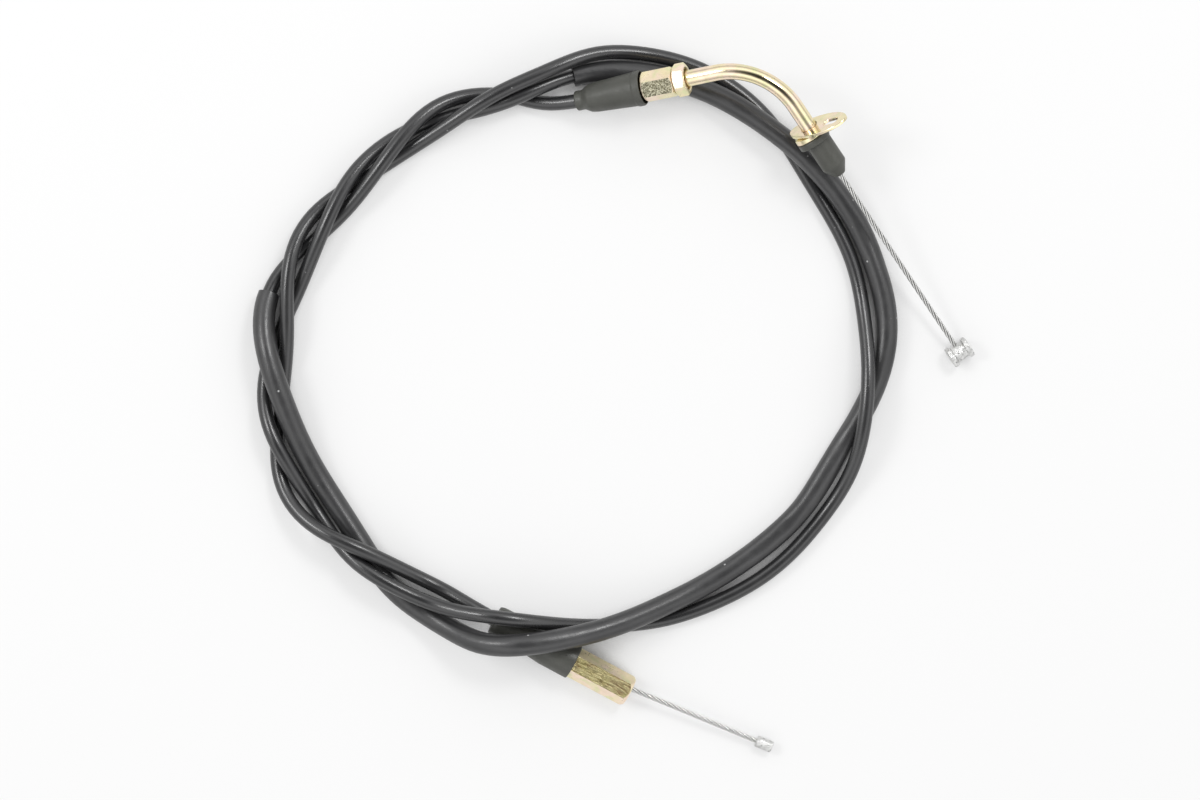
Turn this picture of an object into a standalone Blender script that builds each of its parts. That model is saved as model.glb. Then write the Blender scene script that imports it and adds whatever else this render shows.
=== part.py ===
# Throttle cable with a looped conduit, an elbow end and a straight hexagonal end, in metres
import math
import bmesh
import bpy
import numpy as np
from mathutils import Matrix, Vector

# Places read from the photograph, which looks straight down from the camera's height
photo_scale = 0.00037
photo_centre = (600.0, 400.0)
photo_middle = (731.176, 408.925)
camera_height = 1.9
nut_face_px = (687.5, 78.5)
nut_face_height = 0.0208
lower_end_px = (629.5, 692.0)
lower_nipple_px = (764.0, 744.0)

# Running and fitting clearances
fit_gap = 0.0003
layer_gap = 0.00015
strand_gap = 0.0004

# Inner wire
wire_radius = 0.0009
wire_hole_radius = 0.0013
wire_travel = 0.028

# Conduit layers and sleeve
jacket_radius = 0.00265
jacket_wall = 0.0004
winding_wall = 0.00035
liner_wall = 0.0003
sleeve_radius = 0.00415
sleeve_wall = 0.0007
tightest_bend = 0.020
table_height = 0.0

# Upper fitting line, measured back from the nut's outer face
upper_plan_angle = math.radians(10.4)
upper_rise = math.radians(18.0)
nut_length = 0.0045
nut_across_flats = 0.0107
adjuster_length = 0.0122
adjuster_across_flats = 0.0099
adjuster_turn = math.radians(16.0)
thread_radius = 0.0039
thread_length = 0.0082
thread_set_back = 0.0010
socket_depth = 0.0053
cap_radius = 0.00375
cap_length = 0.0116
cap_front_wall = 0.0048
boot_length = 0.0261
boot_mouth_radius = 0.00665
boot_waist_radius = 0.0055
boot_tip_radius = 0.0037
boot_tip_length = 0.0029
boot_wall = 0.0007

# Elbow and what it carries, measured from the corner where its straight lines meet
pipe_radius = 0.0030
pipe_bore_radius = 0.0021
elbow_liner_wall = 0.0006
elbow_bend_radius = 0.027
nut_to_corner = 0.0304
corner_to_plate = 0.0292
elbow_end_angle = math.radians(-55.5)
elbow_end_fall = math.radians(13.0)
pipe_past_plate = 0.0080
plate_length = 0.0260
plate_width = 0.0130
plate_thickness = 0.0012
plate_hole_offset = 0.0042
plate_slot_offset = 0.0102
plate_slot_length = 0.0065
plate_slot_width = 0.0035
plate_fall = math.radians(23.5)
plate_turn = math.radians(46.0)
collar_radius = 0.0062
collar_shift = 0.0011
collar_low = 0.0009
collar_length = 0.0024
brazed_gap = 0.00005
seal_flange_length = 0.0026
seal_body_radius = 0.00475
seal_body_length = 0.0112
seal_tip_radius = 0.0023
seal_length = 0.0175

# Barrel nipple on the upper wire
plate_to_barrel_plan = 0.0992
barrel_radius = 0.0040
barrel_length = 0.0087
barrel_flange = 0.0018
barrel_waist_radius = 0.0031
nipple_hole_radius = 0.0011

# Lower fitting line, measured back from the hexagon's outer face
lower_plan_angle = math.radians(-28.4)
lower_across_flats = 0.0102
lower_length = 0.0330
lower_chamfer = 0.0012
lower_bore_radius = 0.0031
lower_boot_shown_from = 0.0233
lower_boot_length = 0.0334
lower_boot_radius = 0.0066
lower_boot_tip_radius = 0.0052
lower_boot_tail_radius = 0.0057
lower_cap_radius = 0.0038
lower_cap_length = 0.0077
lower_cap_front_wall = 0.0019
wire_stub = 0.0030
wire_cross_depth = 0.0130
lower_nipple_radius = 0.0022
lower_nipple_length = 0.0063

# Route of the conduit by hand: photo x, photo y, height in millimetres
route_from_boot = [
    (550, 97.5, 3.9), (525, 98, 2.5), (500, 96, 2.5), (478, 94, 2.5), (452, 100, 3.4), (430, 112, 6.5),
    (410, 130, 9.0), (391, 152, 9.6), (375, 172, 8.8), (360, 192, 7.0), (345, 210, 4.5), (328, 230, 2.8),
    (306, 247, 2.5), (284, 266, 2.9)]
route_in_sleeve = [
    (267, 293, 4.4), (267, 312, 5.0), (268, 334, 7.6), (271, 358, 9.5), (276, 382, 9.7), (284, 406, 9.3),
    (294, 430, 7.4), (306, 455, 5.2), (320, 480, 4.2), (335, 503, 4.0), (350, 527, 4.0), (365, 550, 4.0),
    (380, 572, 4.0), (396, 592, 4.0), (416, 608, 4.2), (440, 621, 5.5), (466, 631, 9.5), (494, 638, 14.0),
    (522, 641, 17.2), (550, 641, 17.6), (578, 636, 15.6), (608, 628, 12.2), (638, 617, 9.8), (665, 605, 7.4),
    (692, 592, 5.0), (720, 576, 4.0), (749, 556, 4.0), (775, 536, 4.0), (797, 514, 4.0), (818, 488, 4.0),
    (837, 461, 4.0), (852, 434, 4.0), (867, 404, 4.0), (877, 375, 4.0), (882, 345, 4.0), (882.5, 318, 4.0),
    (879, 287, 4.0), (870, 252, 4.0), (856, 221, 4.6), (838, 194, 6.2), (818, 171, 8.0), (801, 153, 9.2),
    (780, 136, 9.4), (760, 121, 9.0), (739, 107, 8.2), (717, 96, 6.8), (694, 86, 5.6), (668, 78, 4.4),
    (638, 73.5, 4.0), (604, 72, 4.0), (573, 76, 4.0)]
route_back = [
    (550, 84, 5.8), (526, 93, 8.2), (503, 102, 7.6), (481, 110.5, 5.2), (460, 115.5, 3.2), (438, 119.5, 2.5),
    (418, 127, 2.5), (400, 137, 2.5), (380, 150, 3.4), (361, 168, 6.0), (346, 188, 8.0), (334, 208, 8.4),
    (323, 230, 8.2), (313, 252, 7.0), (304, 276, 4.4), (296, 298, 2.6), (288, 318, 2.5), (278, 338, 2.5),
    (269, 358, 2.5), (264, 382, 2.7), (266, 408, 4.0), (272, 432, 6.8), (282.5, 455, 7.6), (295, 476, 5.2),
    (308.5, 498, 3.0), (322, 517, 3.2), (335, 535.5, 5.6), (347, 552, 8.8), (363, 565, 10.8), (381, 578, 11.0),
    (402, 591, 10.6), (430, 603, 10.6), (458, 611.5, 12.0), (484, 617.5, 14.4), (510, 621.5, 15.6),
    (535, 624.5, 14.0), (560, 625.5, 10.4), (583, 625.5, 6.6), (604, 625.5, 3.8), (628, 624.5, 2.5),
    (662, 620, 2.5), (700, 608, 2.5), (737, 592, 2.5), (770, 572, 2.5), (799, 545, 2.5), (820, 520, 2.5),
    (836, 495, 2.9), (848, 470, 5.2), (857, 445, 8.4), (864, 415, 10.8), (869, 386, 10.6), (871, 358, 8.6),
    (870, 334, 6.0), (866, 308, 3.8), (858, 278, 2.6), (847, 248, 2.5), (834, 222, 2.5), (820, 200, 2.5),
    (806, 176, 2.5), (791, 151, 2.5), (776, 129, 2.5), (760, 110, 2.5), (742, 95, 2.5), (722, 81, 2.5),
    (701, 69, 2.5), (676, 60, 2.5), (646, 55.5, 2.5), (612, 56.5, 4.4), (580, 62.5, 8.2), (552, 70.5, 10.6),
    (526, 81, 11.8), (502, 92, 11.8), (481, 103, 10.6), (460, 115.5, 8.8), (440, 127.5, 6.0),
    (420, 140, 3.6), (401, 152.5, 2.5), (383, 164.5, 2.5), (364, 178, 2.5), (346, 190, 2.5), (328, 200, 2.6),
    (313, 214, 3.4), (302, 232, 5.6), (294, 252, 7.8), (289, 273, 8.4), (286, 296, 8.3), (284, 320, 7.8),
    (284, 345, 5.5), (284, 370, 3.2), (282, 397, 2.5), (279, 423, 2.5), (277, 446, 2.5), (277, 467, 3.0),
    (283, 490, 4.4), (298, 512, 7.4), (320, 531, 11.0), (344, 544, 13.2), (365, 553, 12.2),
    (385, 562.5, 9.2), (406, 572.5, 6.6), (432, 584, 4.8), (456, 596, 4.6), (476, 607.5, 6.2)]

material_looks = {
    "zinc_gold": ((0.62, 0.52, 0.33, 1.0), 0.38, 1.0),
    "bright_steel": ((0.56, 0.56, 0.55, 1.0), 0.34, 1.0),
    "dark_steel": ((0.22, 0.22, 0.22, 1.0), 0.45, 1.0),
    "black_jacket": ((0.018, 0.018, 0.019, 1.0), 0.42, 0.0),
    "charcoal_sleeve": ((0.030, 0.030, 0.031, 1.0), 0.70, 0.0),
    "olive_rubber": ((0.045, 0.045, 0.038, 1.0), 0.75, 0.0),
    "white_liner": ((0.70, 0.70, 0.66, 1.0), 0.55, 0.0),
}


def start_scene():
    for old in list(bpy.data.objects):
        bpy.data.objects.remove(old, do_unlink=True)
    collections = []
    for label in ("throttle_cable", "cutters"):
        collection = bpy.data.collections.new(label)
        bpy.context.scene.collection.children.link(collection)
        collections.append(collection)
    return collections


piece_collection, cutter_collection = start_scene()


def material(label):
    found = bpy.data.materials.get(label)
    if found:
        return found
    colour, roughness, metallic = material_looks[label]
    made = bpy.data.materials.new(label)
    made.use_nodes = True
    shader = made.node_tree.nodes["Principled BSDF"]
    shader.inputs["Base Color"].default_value = colour
    shader.inputs["Roughness"].default_value = roughness
    shader.inputs["Metallic"].default_value = metallic
    return made


def line_direction(plan_angle, rise):
    flat = math.cos(rise)
    return Vector((flat * math.cos(plan_angle), flat * math.sin(plan_angle), math.sin(rise)))


def on_table(px, py, height):
    nearer = 1.0 - height / camera_height
    across = photo_centre[0] + (px - photo_centre[0]) * nearer - photo_middle[0]
    down = photo_centre[1] + (py - photo_centre[1]) * nearer - photo_middle[1]
    return Vector((across * photo_scale, -down * photo_scale, height))


def axis_frame(origin, along, side=Vector((0.0, 0.0, 1.0))):
    # Local Z runs along the axis and local X is the side, made square to it
    z_axis = along.normalized()
    x_axis = (side - z_axis * side.dot(z_axis)).normalized()
    y_axis = z_axis.cross(x_axis)
    turn = Matrix((x_axis, y_axis, z_axis)).transposed().to_4x4()
    return Matrix.Translation(origin) @ turn


def add_object(label, data, slot=None, frame=None, cutter=False):
    made = bpy.data.objects.new(label, data)
    if cutter:
        cutter_collection.objects.link(made)
        made.display_type = "WIRE"
        made.hide_render = True
    else:
        piece_collection.objects.link(made)
        data.materials.append(material(slot))
    if frame is not None:
        made.matrix_world = frame
    return made


def turned(label, profile, frame, slot=None, hollow=False, cutter=False, steps=32):
    # The profile holds radius and height, and runs down its outer side from top to bottom
    mesh = bpy.data.meshes.new(label)
    points = [(radius, 0.0, height) for radius, height in profile]
    edges = [(k, k + 1) for k in range(len(points) - 1)]
    if hollow:
        edges.append((len(points) - 1, 0))
    mesh.from_pydata(points, edges, [])
    made = add_object(label, mesh, slot, frame, cutter)
    screw = made.modifiers.new("turn", "SCREW")
    screw.axis = "Z"
    screw.steps = steps
    screw.render_steps = steps
    screw.use_merge_vertices = True
    screw.merge_threshold = 0.00001
    return made


def boolean(piece, tool, operation="DIFFERENCE"):
    step = piece.modifiers.new(operation.lower(), "BOOLEAN")
    step.operation = operation
    step.object = tool
    step.solver = "EXACT"


def hexagon(label, frame, across_flats, low, high, chamfer, slot, turn=0.0):
    # A chamfered hexagonal bar from low to high along the frame's axis
    corner_radius = across_flats / math.sqrt(3.0)
    mesh = bpy.data.meshes.new(label)
    bar = bmesh.new()
    bmesh.ops.create_cone(bar, cap_ends=True, segments=6, radius1=corner_radius, radius2=corner_radius,
                          depth=high - low)
    bmesh.ops.rotate(bar, verts=bar.verts, matrix=Matrix.Rotation(turn, 3, "Z"))
    bmesh.ops.translate(bar, verts=bar.verts, vec=(0.0, 0.0, (high + low) / 2))
    bar.to_mesh(mesh)
    bar.free()
    made = add_object(label, mesh, slot, frame)
    crown = across_flats / 2 * 0.98
    wide = corner_radius * 1.02
    round_profile = [(0.0, high + fit_gap), (crown - fit_gap * 0.5, high + fit_gap), (wide, high - chamfer),
                     (wide, low + chamfer), (crown - fit_gap * 0.5, low - fit_gap), (0.0, low - fit_gap)]
    boolean(made, turned(label + "_chamfer", round_profile, frame, cutter=True), "INTERSECT")
    return made


def curve_tube(label, points, radius, slot=None, wall=0.0, sides=8, cutter=False):
    # An even number of sides: a bevel resolution of 2 gives 8
    data = bpy.data.curves.new(label, "CURVE")
    data.dimensions = "3D"
    data.bevel_depth = radius
    data.bevel_resolution = (sides - 4) // 2
    data.use_fill_caps = wall == 0.0
    spline = data.splines.new("POLY")
    spline.points.add(len(points) - 1)
    for point, place in zip(spline.points, points):
        point.co = (place[0], place[1], place[2], 1.0)
    made = add_object(label, data, slot, None, cutter)
    if wall:
        shell = made.modifiers.new("wall", "SOLIDIFY")
        shell.thickness = wall
        shell.offset = -1.0
        shell.use_even_offset = True
    return made


def meshed(piece):
    # A capped curve becomes a mesh with its caps welded, ready for a Boolean
    graph = bpy.context.evaluated_depsgraph_get()
    mesh = bpy.data.meshes.new_from_object(piece.evaluated_get(graph))
    shape = bmesh.new()
    shape.from_mesh(mesh)
    bmesh.ops.remove_doubles(shape, verts=shape.verts, dist=0.00001)
    bmesh.ops.recalc_face_normals(shape, faces=shape.faces)
    shape.to_mesh(mesh)
    shape.free()
    label = piece.name
    collection = piece.users_collection[0]
    render_hidden = piece.hide_render
    bpy.data.objects.remove(piece, do_unlink=True)
    made = bpy.data.objects.new(label, mesh)
    collection.objects.link(made)
    made.hide_render = render_hidden
    made.display_type = "WIRE" if render_hidden else "TEXTURED"
    return made


def pivot(label, frame, pieces):
    # An empty on the joint's axis carries the pieces that move with it
    made = bpy.data.objects.new(label, None)
    piece_collection.objects.link(made)
    made.matrix_world = frame
    bpy.context.view_layer.update()
    for piece in pieces:
        piece.parent = made
        piece.matrix_parent_inverse = frame.inverted()


# Frames of the three straight lines
upper_direction = line_direction(upper_plan_angle, upper_rise)
nut_face = on_table(*nut_face_px, nut_face_height)
upper_frame = axis_frame(nut_face, upper_direction)

elbow_corner = nut_face + upper_direction * nut_to_corner
seat_direction = line_direction(elbow_end_angle, -elbow_end_fall)
side_way = line_direction(elbow_end_angle + math.pi / 2, 0.0)
plate_centre = elbow_corner + seat_direction * corner_to_plate

lower_lift = lower_boot_radius - lower_across_flats / 2
lower_fall = math.asin(lower_lift / lower_boot_shown_from)
lower_direction = line_direction(lower_plan_angle, -lower_fall)
lower_end = on_table(*lower_end_px, table_height + lower_across_flats / 2 + 0.0001)
lower_frame = axis_frame(lower_end, lower_direction)

# Stations along the upper and lower lines, negative into the fittings
adjuster_high = -nut_length - fit_gap
adjuster_low = adjuster_high - adjuster_length
socket_floor = adjuster_low + socket_depth
cap_high = socket_floor - fit_gap
cap_low = cap_high - cap_length
conduit_top = cap_high - cap_front_wall - fit_gap
boot_mouth = adjuster_low - fit_gap
boot_tip = boot_mouth - boot_length
thread_low = -thread_set_back - thread_length
lower_low = -lower_length
lower_mouth = -lower_boot_shown_from
lower_tip = lower_mouth - lower_boot_length
lower_cap_high = lower_low - fit_gap
lower_cap_low = lower_cap_high - lower_cap_length
conduit_bottom = lower_cap_high - lower_cap_front_wall - fit_gap


def rounded_corner(before, corner, after, radius, steps):
    # Points of the arc that joins two straight lines at a corner
    inward = (before - corner).normalized()
    outward = (after - corner).normalized()
    half_turn = (math.pi - inward.angle(outward)) / 2
    reach = radius * math.tan(half_turn)
    middle = corner + (inward + outward).normalized() * radius / math.cos(half_turn)
    start = corner + inward * reach - middle
    turn_axis = start.cross(corner + outward * reach - middle).normalized()
    points = []
    for k in range(steps + 1):
        turn = Matrix.Rotation(2 * half_turn * k / steps, 3, turn_axis)
        points.append(middle + turn @ start)
    return points, reach


def along_upper(distance):
    return nut_face + upper_direction * distance


def along_seat(distance):
    return plate_centre + seat_direction * distance


def along_lower(distance):
    return lower_end + lower_direction * distance


# Smooth route and its settling
def smooth_curve(points, steps=16):
    # A centripetal curve through every point, finely sampled
    line = np.vstack([2 * points[0] - points[1], points, 2 * points[-1] - points[-2]])
    samples = []
    for k in range(1, len(line) - 2):
        p0, p1, p2, p3 = line[k - 1:k + 3]
        t1 = math.sqrt(np.linalg.norm(p1 - p0))
        t2 = t1 + math.sqrt(np.linalg.norm(p2 - p1))
        t3 = t2 + math.sqrt(np.linalg.norm(p3 - p2))
        for t in np.linspace(t1, t2, steps, endpoint=False):
            a1 = (t1 - t) / t1 * p0 + t / t1 * p1
            a2 = (t2 - t) / (t2 - t1) * p1 + (t - t1) / (t2 - t1) * p2
            a3 = (t3 - t) / (t3 - t2) * p2 + (t - t2) / (t3 - t2) * p3
            b1 = (t2 - t) / t2 * a1 + t / t2 * a2
            b2 = (t3 - t) / (t3 - t1) * a2 + (t - t1) / (t3 - t1) * a3
            samples.append((t2 - t) / (t2 - t1) * b1 + (t - t1) / (t2 - t1) * b2)
    samples.append(points[-1])
    return np.array(samples)


def lengths_along(line):
    return np.concatenate([[0.0], np.cumsum(np.linalg.norm(np.diff(line, axis=0), axis=1))])


def even_points(line, spacing):
    along = lengths_along(line)
    stations = np.linspace(0.0, along[-1], max(2, round(along[-1] / spacing) + 1))
    return np.stack([np.interp(stations, along, line[:, k]) for k in range(3)], axis=1)


def bend_points(line, longest, turn_step):
    # Fewer points on straights and more where the route bends
    line = even_points(line, 0.004)
    steps = np.diff(line, axis=0)
    sizes = np.linalg.norm(steps, axis=1)
    headings = steps / sizes[:, None]
    turns = np.arccos(np.clip((headings[1:] * headings[:-1]).sum(axis=1), -1.0, 1.0))
    turns = np.convolve(np.concatenate([turns[:1], turns, turns[-1:]]), [0.25, 0.5, 0.25], mode="same")
    share = sizes / longest
    share += 0.5 * (turns[:-1] + turns[1:]) / turn_step
    along = np.concatenate([[0.0], np.cumsum(share)])
    stations = np.linspace(0.0, along[-1], max(2, round(along[-1]) + 1))
    points = np.stack([np.interp(stations, along, line[:, k]) for k in range(3)], axis=1)
    # Each point stands a little outside its bend, so the straight stretches straddle the curve
    points[1:-1] += (2 * points[1:-1] - points[:-2] - points[2:]) / 16
    return points


def closest_shares(start_a, end_a, start_b, end_b):
    # How far along each of two straight stretches their closest points lie
    run_a = end_a - start_a
    run_b = end_b - start_b
    across = start_a - start_b
    a = (run_a * run_a).sum(axis=1)
    e = (run_b * run_b).sum(axis=1)
    b = (run_a * run_b).sum(axis=1)
    c = (run_a * across).sum(axis=1)
    f = (run_b * across).sum(axis=1)
    share_a = np.clip((b * f - c * e) / np.maximum(a * e - b * b, 1e-18), 0.0, 1.0)
    share_b = np.clip((b * share_a + f) / e, 0.0, 1.0)
    share_a = np.clip((b * share_b - c) / a, 0.0, 1.0)
    return share_a, share_b


def settle(line, radii, held, rods, rounds=700):
    # Moves crossing strands apart, keeps bends gentle and keeps the cord on the table
    line = line.copy()
    free = (~held).astype(float)[:, None]
    thick = np.minimum(radii[:-1], radii[1:])
    first, second = np.triu_indices(len(line) - 1, 3)
    rod_starts = np.array([rod[0] for rod in rods])
    rod_ends = np.array([rod[1] for rod in rods])
    rod_radii = np.array([rod[2] for rod in rods])
    piece, rod = np.meshgrid(np.arange(len(line) - 1), np.arange(len(rods)), indexing="ij")
    piece, rod = piece.ravel(), rod.ravel()
    loose = ~(held[piece] | held[piece + 1])
    piece, rod = piece[loose], rod[loose]
    for turn in range(rounds):
        move = np.zeros_like(line)
        share_a, share_b = closest_shares(line[first], line[first + 1], line[second], line[second + 1])
        apart = line[first] + (line[first + 1] - line[first]) * share_a[:, None]
        apart -= line[second] + (line[second + 1] - line[second]) * share_b[:, None]
        size = np.maximum(np.linalg.norm(apart, axis=1), 1e-6)
        short = thick[first] + thick[second] + strand_gap - size
        hit = short > 0.0
        push = apart[hit] / size[hit, None] * short[hit, None] * 0.35
        sa, sb = share_a[hit, None], share_b[hit, None]
        np.add.at(move, first[hit], push * (1 - sa))
        np.add.at(move, first[hit] + 1, push * sa)
        np.add.at(move, second[hit], -push * (1 - sb))
        np.add.at(move, second[hit] + 1, -push * sb)
        share_a, share_b = closest_shares(line[piece], line[piece + 1], rod_starts[rod], rod_ends[rod])
        apart = line[piece] + (line[piece + 1] - line[piece]) * share_a[:, None]
        apart -= rod_starts[rod] + (rod_ends[rod] - rod_starts[rod]) * share_b[:, None]
        size = np.maximum(np.linalg.norm(apart, axis=1), 1e-6)
        short = thick[piece] + rod_radii[rod] + strand_gap - size
        hit = short > 0.0
        push = apart[hit] / size[hit, None] * short[hit, None] * 0.7
        sa = share_a[hit, None]
        np.add.at(move, piece[hit], push * (1 - sa))
        np.add.at(move, piece[hit] + 1, push * sa)
        before, middle, after = line[:-2], line[1:-1], line[2:]
        side_a = np.linalg.norm(middle - before, axis=1)
        side_b = np.linalg.norm(after - middle, axis=1)
        side_c = np.linalg.norm(after - before, axis=1)
        twice_area = np.linalg.norm(np.cross(middle - before, after - middle), axis=1)
        bend = side_a * side_b * side_c / np.maximum(2 * twice_area, 1e-12)
        tight = np.clip(tightest_bend / bend - 1.0, 0.0, 0.5)[:, None]
        pull = (before + after - 2 * middle) * 0.5 * tight * 0.25
        move[1:-1] += pull
        move[:-2] -= pull * 0.5
        move[2:] -= pull * 0.5
        line += move * free
        line[:, 2] = np.where(held, line[:, 2], np.maximum(line[:, 2], table_height + radii))
    return line


def tapered_rods(point_at, stations):
    # Short round rods that stand for a fitting while the cord settles against it
    rods = []
    for (low, radius_low), (high, radius_high) in zip(stations[:-1], stations[1:]):
        rods.append((np.array(point_at(low)), np.array(point_at(high)), max(radius_low, radius_high)))
    return rods


def cord_route():
    def spread(points):
        return [np.array(on_table(x, y, height * 0.001)) for x, y, height in points]

    tip_room = 0.0002
    head = [np.array(along_upper(s)) for s in (conduit_top, (conduit_top + boot_tip) / 2, boot_tip - tip_room)]
    tail = [np.array(along_lower(s)) for s in (lower_tip - tip_room, (lower_tip + conduit_bottom) / 2,
                                               conduit_bottom)]
    sleeve_points = spread(route_in_sleeve)
    loose_points = spread(route_from_boot) + sleeve_points + spread(route_back)
    whole = np.array(head[1:] + loose_points + tail[:2])
    fine = smooth_curve(whole)
    steps = 16
    sleeve_from = (2 + len(route_from_boot)) * steps
    sleeve_to = sleeve_from + (len(sleeve_points) - 1) * steps
    stretches = [fine[steps:sleeve_from + 1], fine[sleeve_from:sleeve_to + 1],
                 fine[sleeve_to:len(fine) - steps]]
    parts = [bend_points(stretch, 0.055, 0.56) for stretch in stretches]
    line = np.vstack([head[:2], parts[0], parts[1][1:], parts[2][1:], tail[1:]])
    start = 2 + len(parts[0]) - 1
    stop = start + len(parts[1]) - 1
    radii = np.full(len(line), jacket_radius)
    radii[start:stop + 1] = sleeve_radius
    held = np.zeros(len(line), bool)
    held[:3] = True
    held[-3:] = True
    rods = tapered_rods(along_upper, [(boot_tip, boot_tip_radius), (boot_tip + boot_tip_length, boot_tip_radius),
                                      (boot_tip + 0.4 * boot_length, boot_waist_radius + 0.0002),
                                      (boot_mouth, boot_mouth_radius),
                                      (0.0, nut_across_flats / math.sqrt(3.0))])
    rods += tapered_rods(along_lower, [(lower_tip, lower_boot_tail_radius),
                                       (lower_tip + 0.3 * lower_boot_length, lower_boot_radius),
                                       (lower_mouth, lower_boot_radius),
                                       (0.0, lower_across_flats / math.sqrt(3.0))])
    seal_low = collar_low + collar_length
    flange_end = seal_low + seal_flange_length
    rods.append((np.array(along_seat(0.0)), np.array(along_seat(flange_end)), collar_radius + collar_shift))
    rods.append((np.array(along_seat(flange_end)), np.array(along_seat(seal_low + seal_length)), seal_body_radius))
    settled = settle(line, radii, held, rods)
    print("cord points", len(settled), "length", round(lengths_along(settled)[-1], 4),
          "sleeve", round(lengths_along(settled[start:stop + 1])[-1], 4))
    return settled, start, stop


# Upper fittings
def make_lock_nut():
    nut = hexagon("lock_nut", upper_frame, nut_across_flats, -nut_length, 0.0, 0.0006, "zinc_gold")
    bore = [(0.0, fit_gap), (thread_radius + fit_gap, fit_gap), (thread_radius + fit_gap, -nut_length - fit_gap),
            (0.0, -nut_length - fit_gap)]
    boolean(nut, turned("lock_nut_bore", bore, upper_frame, cutter=True))
    return nut


def make_adjuster():
    body = hexagon("adjuster_body", upper_frame, adjuster_across_flats, adjuster_low, adjuster_high, 0.0007,
                   "zinc_gold", adjuster_turn)
    thread_floor = thread_low - fit_gap
    bore = [(0.0, adjuster_high + fit_gap), (thread_radius + fit_gap, adjuster_high + fit_gap),
            (thread_radius + fit_gap, thread_floor), (wire_hole_radius, thread_floor),
            (wire_hole_radius, socket_floor), (cap_radius + fit_gap, socket_floor),
            (cap_radius + fit_gap, adjuster_low - fit_gap), (0.0, adjuster_low - fit_gap)]
    boolean(body, turned("adjuster_bore", bore, upper_frame, cutter=True))
    return body


def make_cap(label, frame, high, length, radius, front_wall):
    low = high - length
    edge = 0.0003
    floor = high - front_wall
    cup = jacket_radius + fit_gap
    profile = [(radius - edge, high), (radius, high - edge), (radius, low + edge), (radius - edge, low),
               (cup, low), (cup, floor), (wire_hole_radius, floor), (wire_hole_radius, high)]
    return turned(label, profile, frame, "zinc_gold", hollow=True)


def make_upper_boot():
    tip_high = boot_tip + boot_tip_length
    shoulder = tip_high + 0.0024
    waist = shoulder + 0.0024
    throat = jacket_radius + fit_gap
    lip = 0.0005
    outside = [(boot_mouth_radius - lip, boot_mouth), (boot_mouth_radius, boot_mouth - lip),
               (boot_mouth_radius, boot_mouth - 0.0024), (boot_mouth_radius - 0.0003, boot_mouth - 0.0030),
               (boot_waist_radius, waist), (boot_waist_radius - 0.0004, shoulder), (boot_tip_radius, tip_high),
               (boot_tip_radius, boot_tip + lip * 0.6), (boot_tip_radius - lip * 0.6, boot_tip)]
    inside = [(throat, boot_tip), (throat, shoulder), (boot_waist_radius - boot_wall, waist + 0.0015),
              (boot_mouth_radius - boot_wall, boot_mouth - 0.0030), (boot_mouth_radius - boot_wall, boot_mouth)]
    return turned("upper_boot", outside + inside, upper_frame, "olive_rubber", hollow=True)


# Elbow and its plate, collar and seal
def elbow_paths():
    arc, reach = rounded_corner(nut_face, elbow_corner, plate_centre, elbow_bend_radius, 10)
    arc_end = reach - corner_to_plate
    return arc, arc_end


def make_elbow():
    arc, arc_end = elbow_paths()
    before = along_upper(thread_low)
    after = along_seat(pipe_past_plate)
    pipe = meshed(curve_tube("elbow_pipe", [before] + arc + [after], pipe_radius, "zinc_gold", sides=16))
    boss = [(0.0, -thread_set_back), (thread_radius - 0.0004, -thread_set_back),
            (thread_radius, -thread_set_back - 0.0004), (thread_radius, thread_low + 0.0004),
            (thread_radius - 0.0004, thread_low), (0.0, thread_low)]
    boolean(pipe, turned("elbow_thread", boss, upper_frame, cutter=True), "UNION")
    beyond = 0.001
    bore_line = [along_upper(thread_low - beyond)] + arc + [along_seat(pipe_past_plate + beyond)]
    boolean(pipe, meshed(curve_tube("elbow_bore", bore_line, pipe_bore_radius, sides=12, cutter=True)))
    liner = curve_tube("elbow_liner", [before] + arc + [after], pipe_bore_radius - fit_gap, "white_liner",
                       wall=elbow_liner_wall)
    wire_start = along_upper(conduit_top + fit_gap)
    wire_end = along_seat(arc_end - 0.0001)
    wire = curve_tube("elbow_wire", [wire_start] + arc[:-1] + [wire_end], wire_radius, "bright_steel")
    return [pipe, liner, wire], arc_end


def make_plate():
    # The plate leans a little from square on the pipe, with its slotted end up
    lean_way = line_direction(elbow_end_angle, -plate_fall)
    rise_way = lean_way.cross(side_way)
    long_way = side_way * math.cos(plate_turn) + rise_way * math.sin(plate_turn)
    frame = axis_frame(plate_centre, lean_way, long_way)
    shape = bmesh.new()
    bmesh.ops.create_cone(shape, cap_ends=True, segments=48, radius1=1.0, radius2=1.0, depth=plate_thickness)
    bmesh.ops.scale(shape, verts=shape.verts, vec=(plate_length / 2, plate_width / 2, 1.0))
    bmesh.ops.translate(shape, verts=shape.verts, vec=(plate_hole_offset, 0.0, 0.0))
    mesh = bpy.data.meshes.new("retaining_plate")
    shape.to_mesh(mesh)
    shape.free()
    plate = add_object("retaining_plate", mesh, "zinc_gold", frame)
    boolean(plate, pipe_hole(axis_frame(plate_centre, seat_direction), 0.0030))
    boolean(plate, slot_cutter(frame))
    return plate, frame


def pipe_hole(frame, reach):
    radius = pipe_radius + fit_gap
    hole = [(0.0, reach), (radius, reach), (radius, -reach), (0.0, -reach)]
    return turned("pipe_hole", hole, frame, cutter=True)


def plate_space(frame):
    # What the plate leaves free under it, for the collar to follow
    reach = 0.010
    high = plate_thickness / 2 + brazed_gap
    shape = bmesh.new()
    bmesh.ops.create_cube(shape, size=1.0)
    bmesh.ops.scale(shape, verts=shape.verts, vec=(4 * reach, 4 * reach, reach + high))
    bmesh.ops.translate(shape, verts=shape.verts, vec=(0.0, 0.0, (high - reach) / 2))
    mesh = bpy.data.meshes.new("plate_space")
    shape.to_mesh(mesh)
    shape.free()
    return add_object("plate_space", mesh, None, frame, cutter=True)


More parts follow.
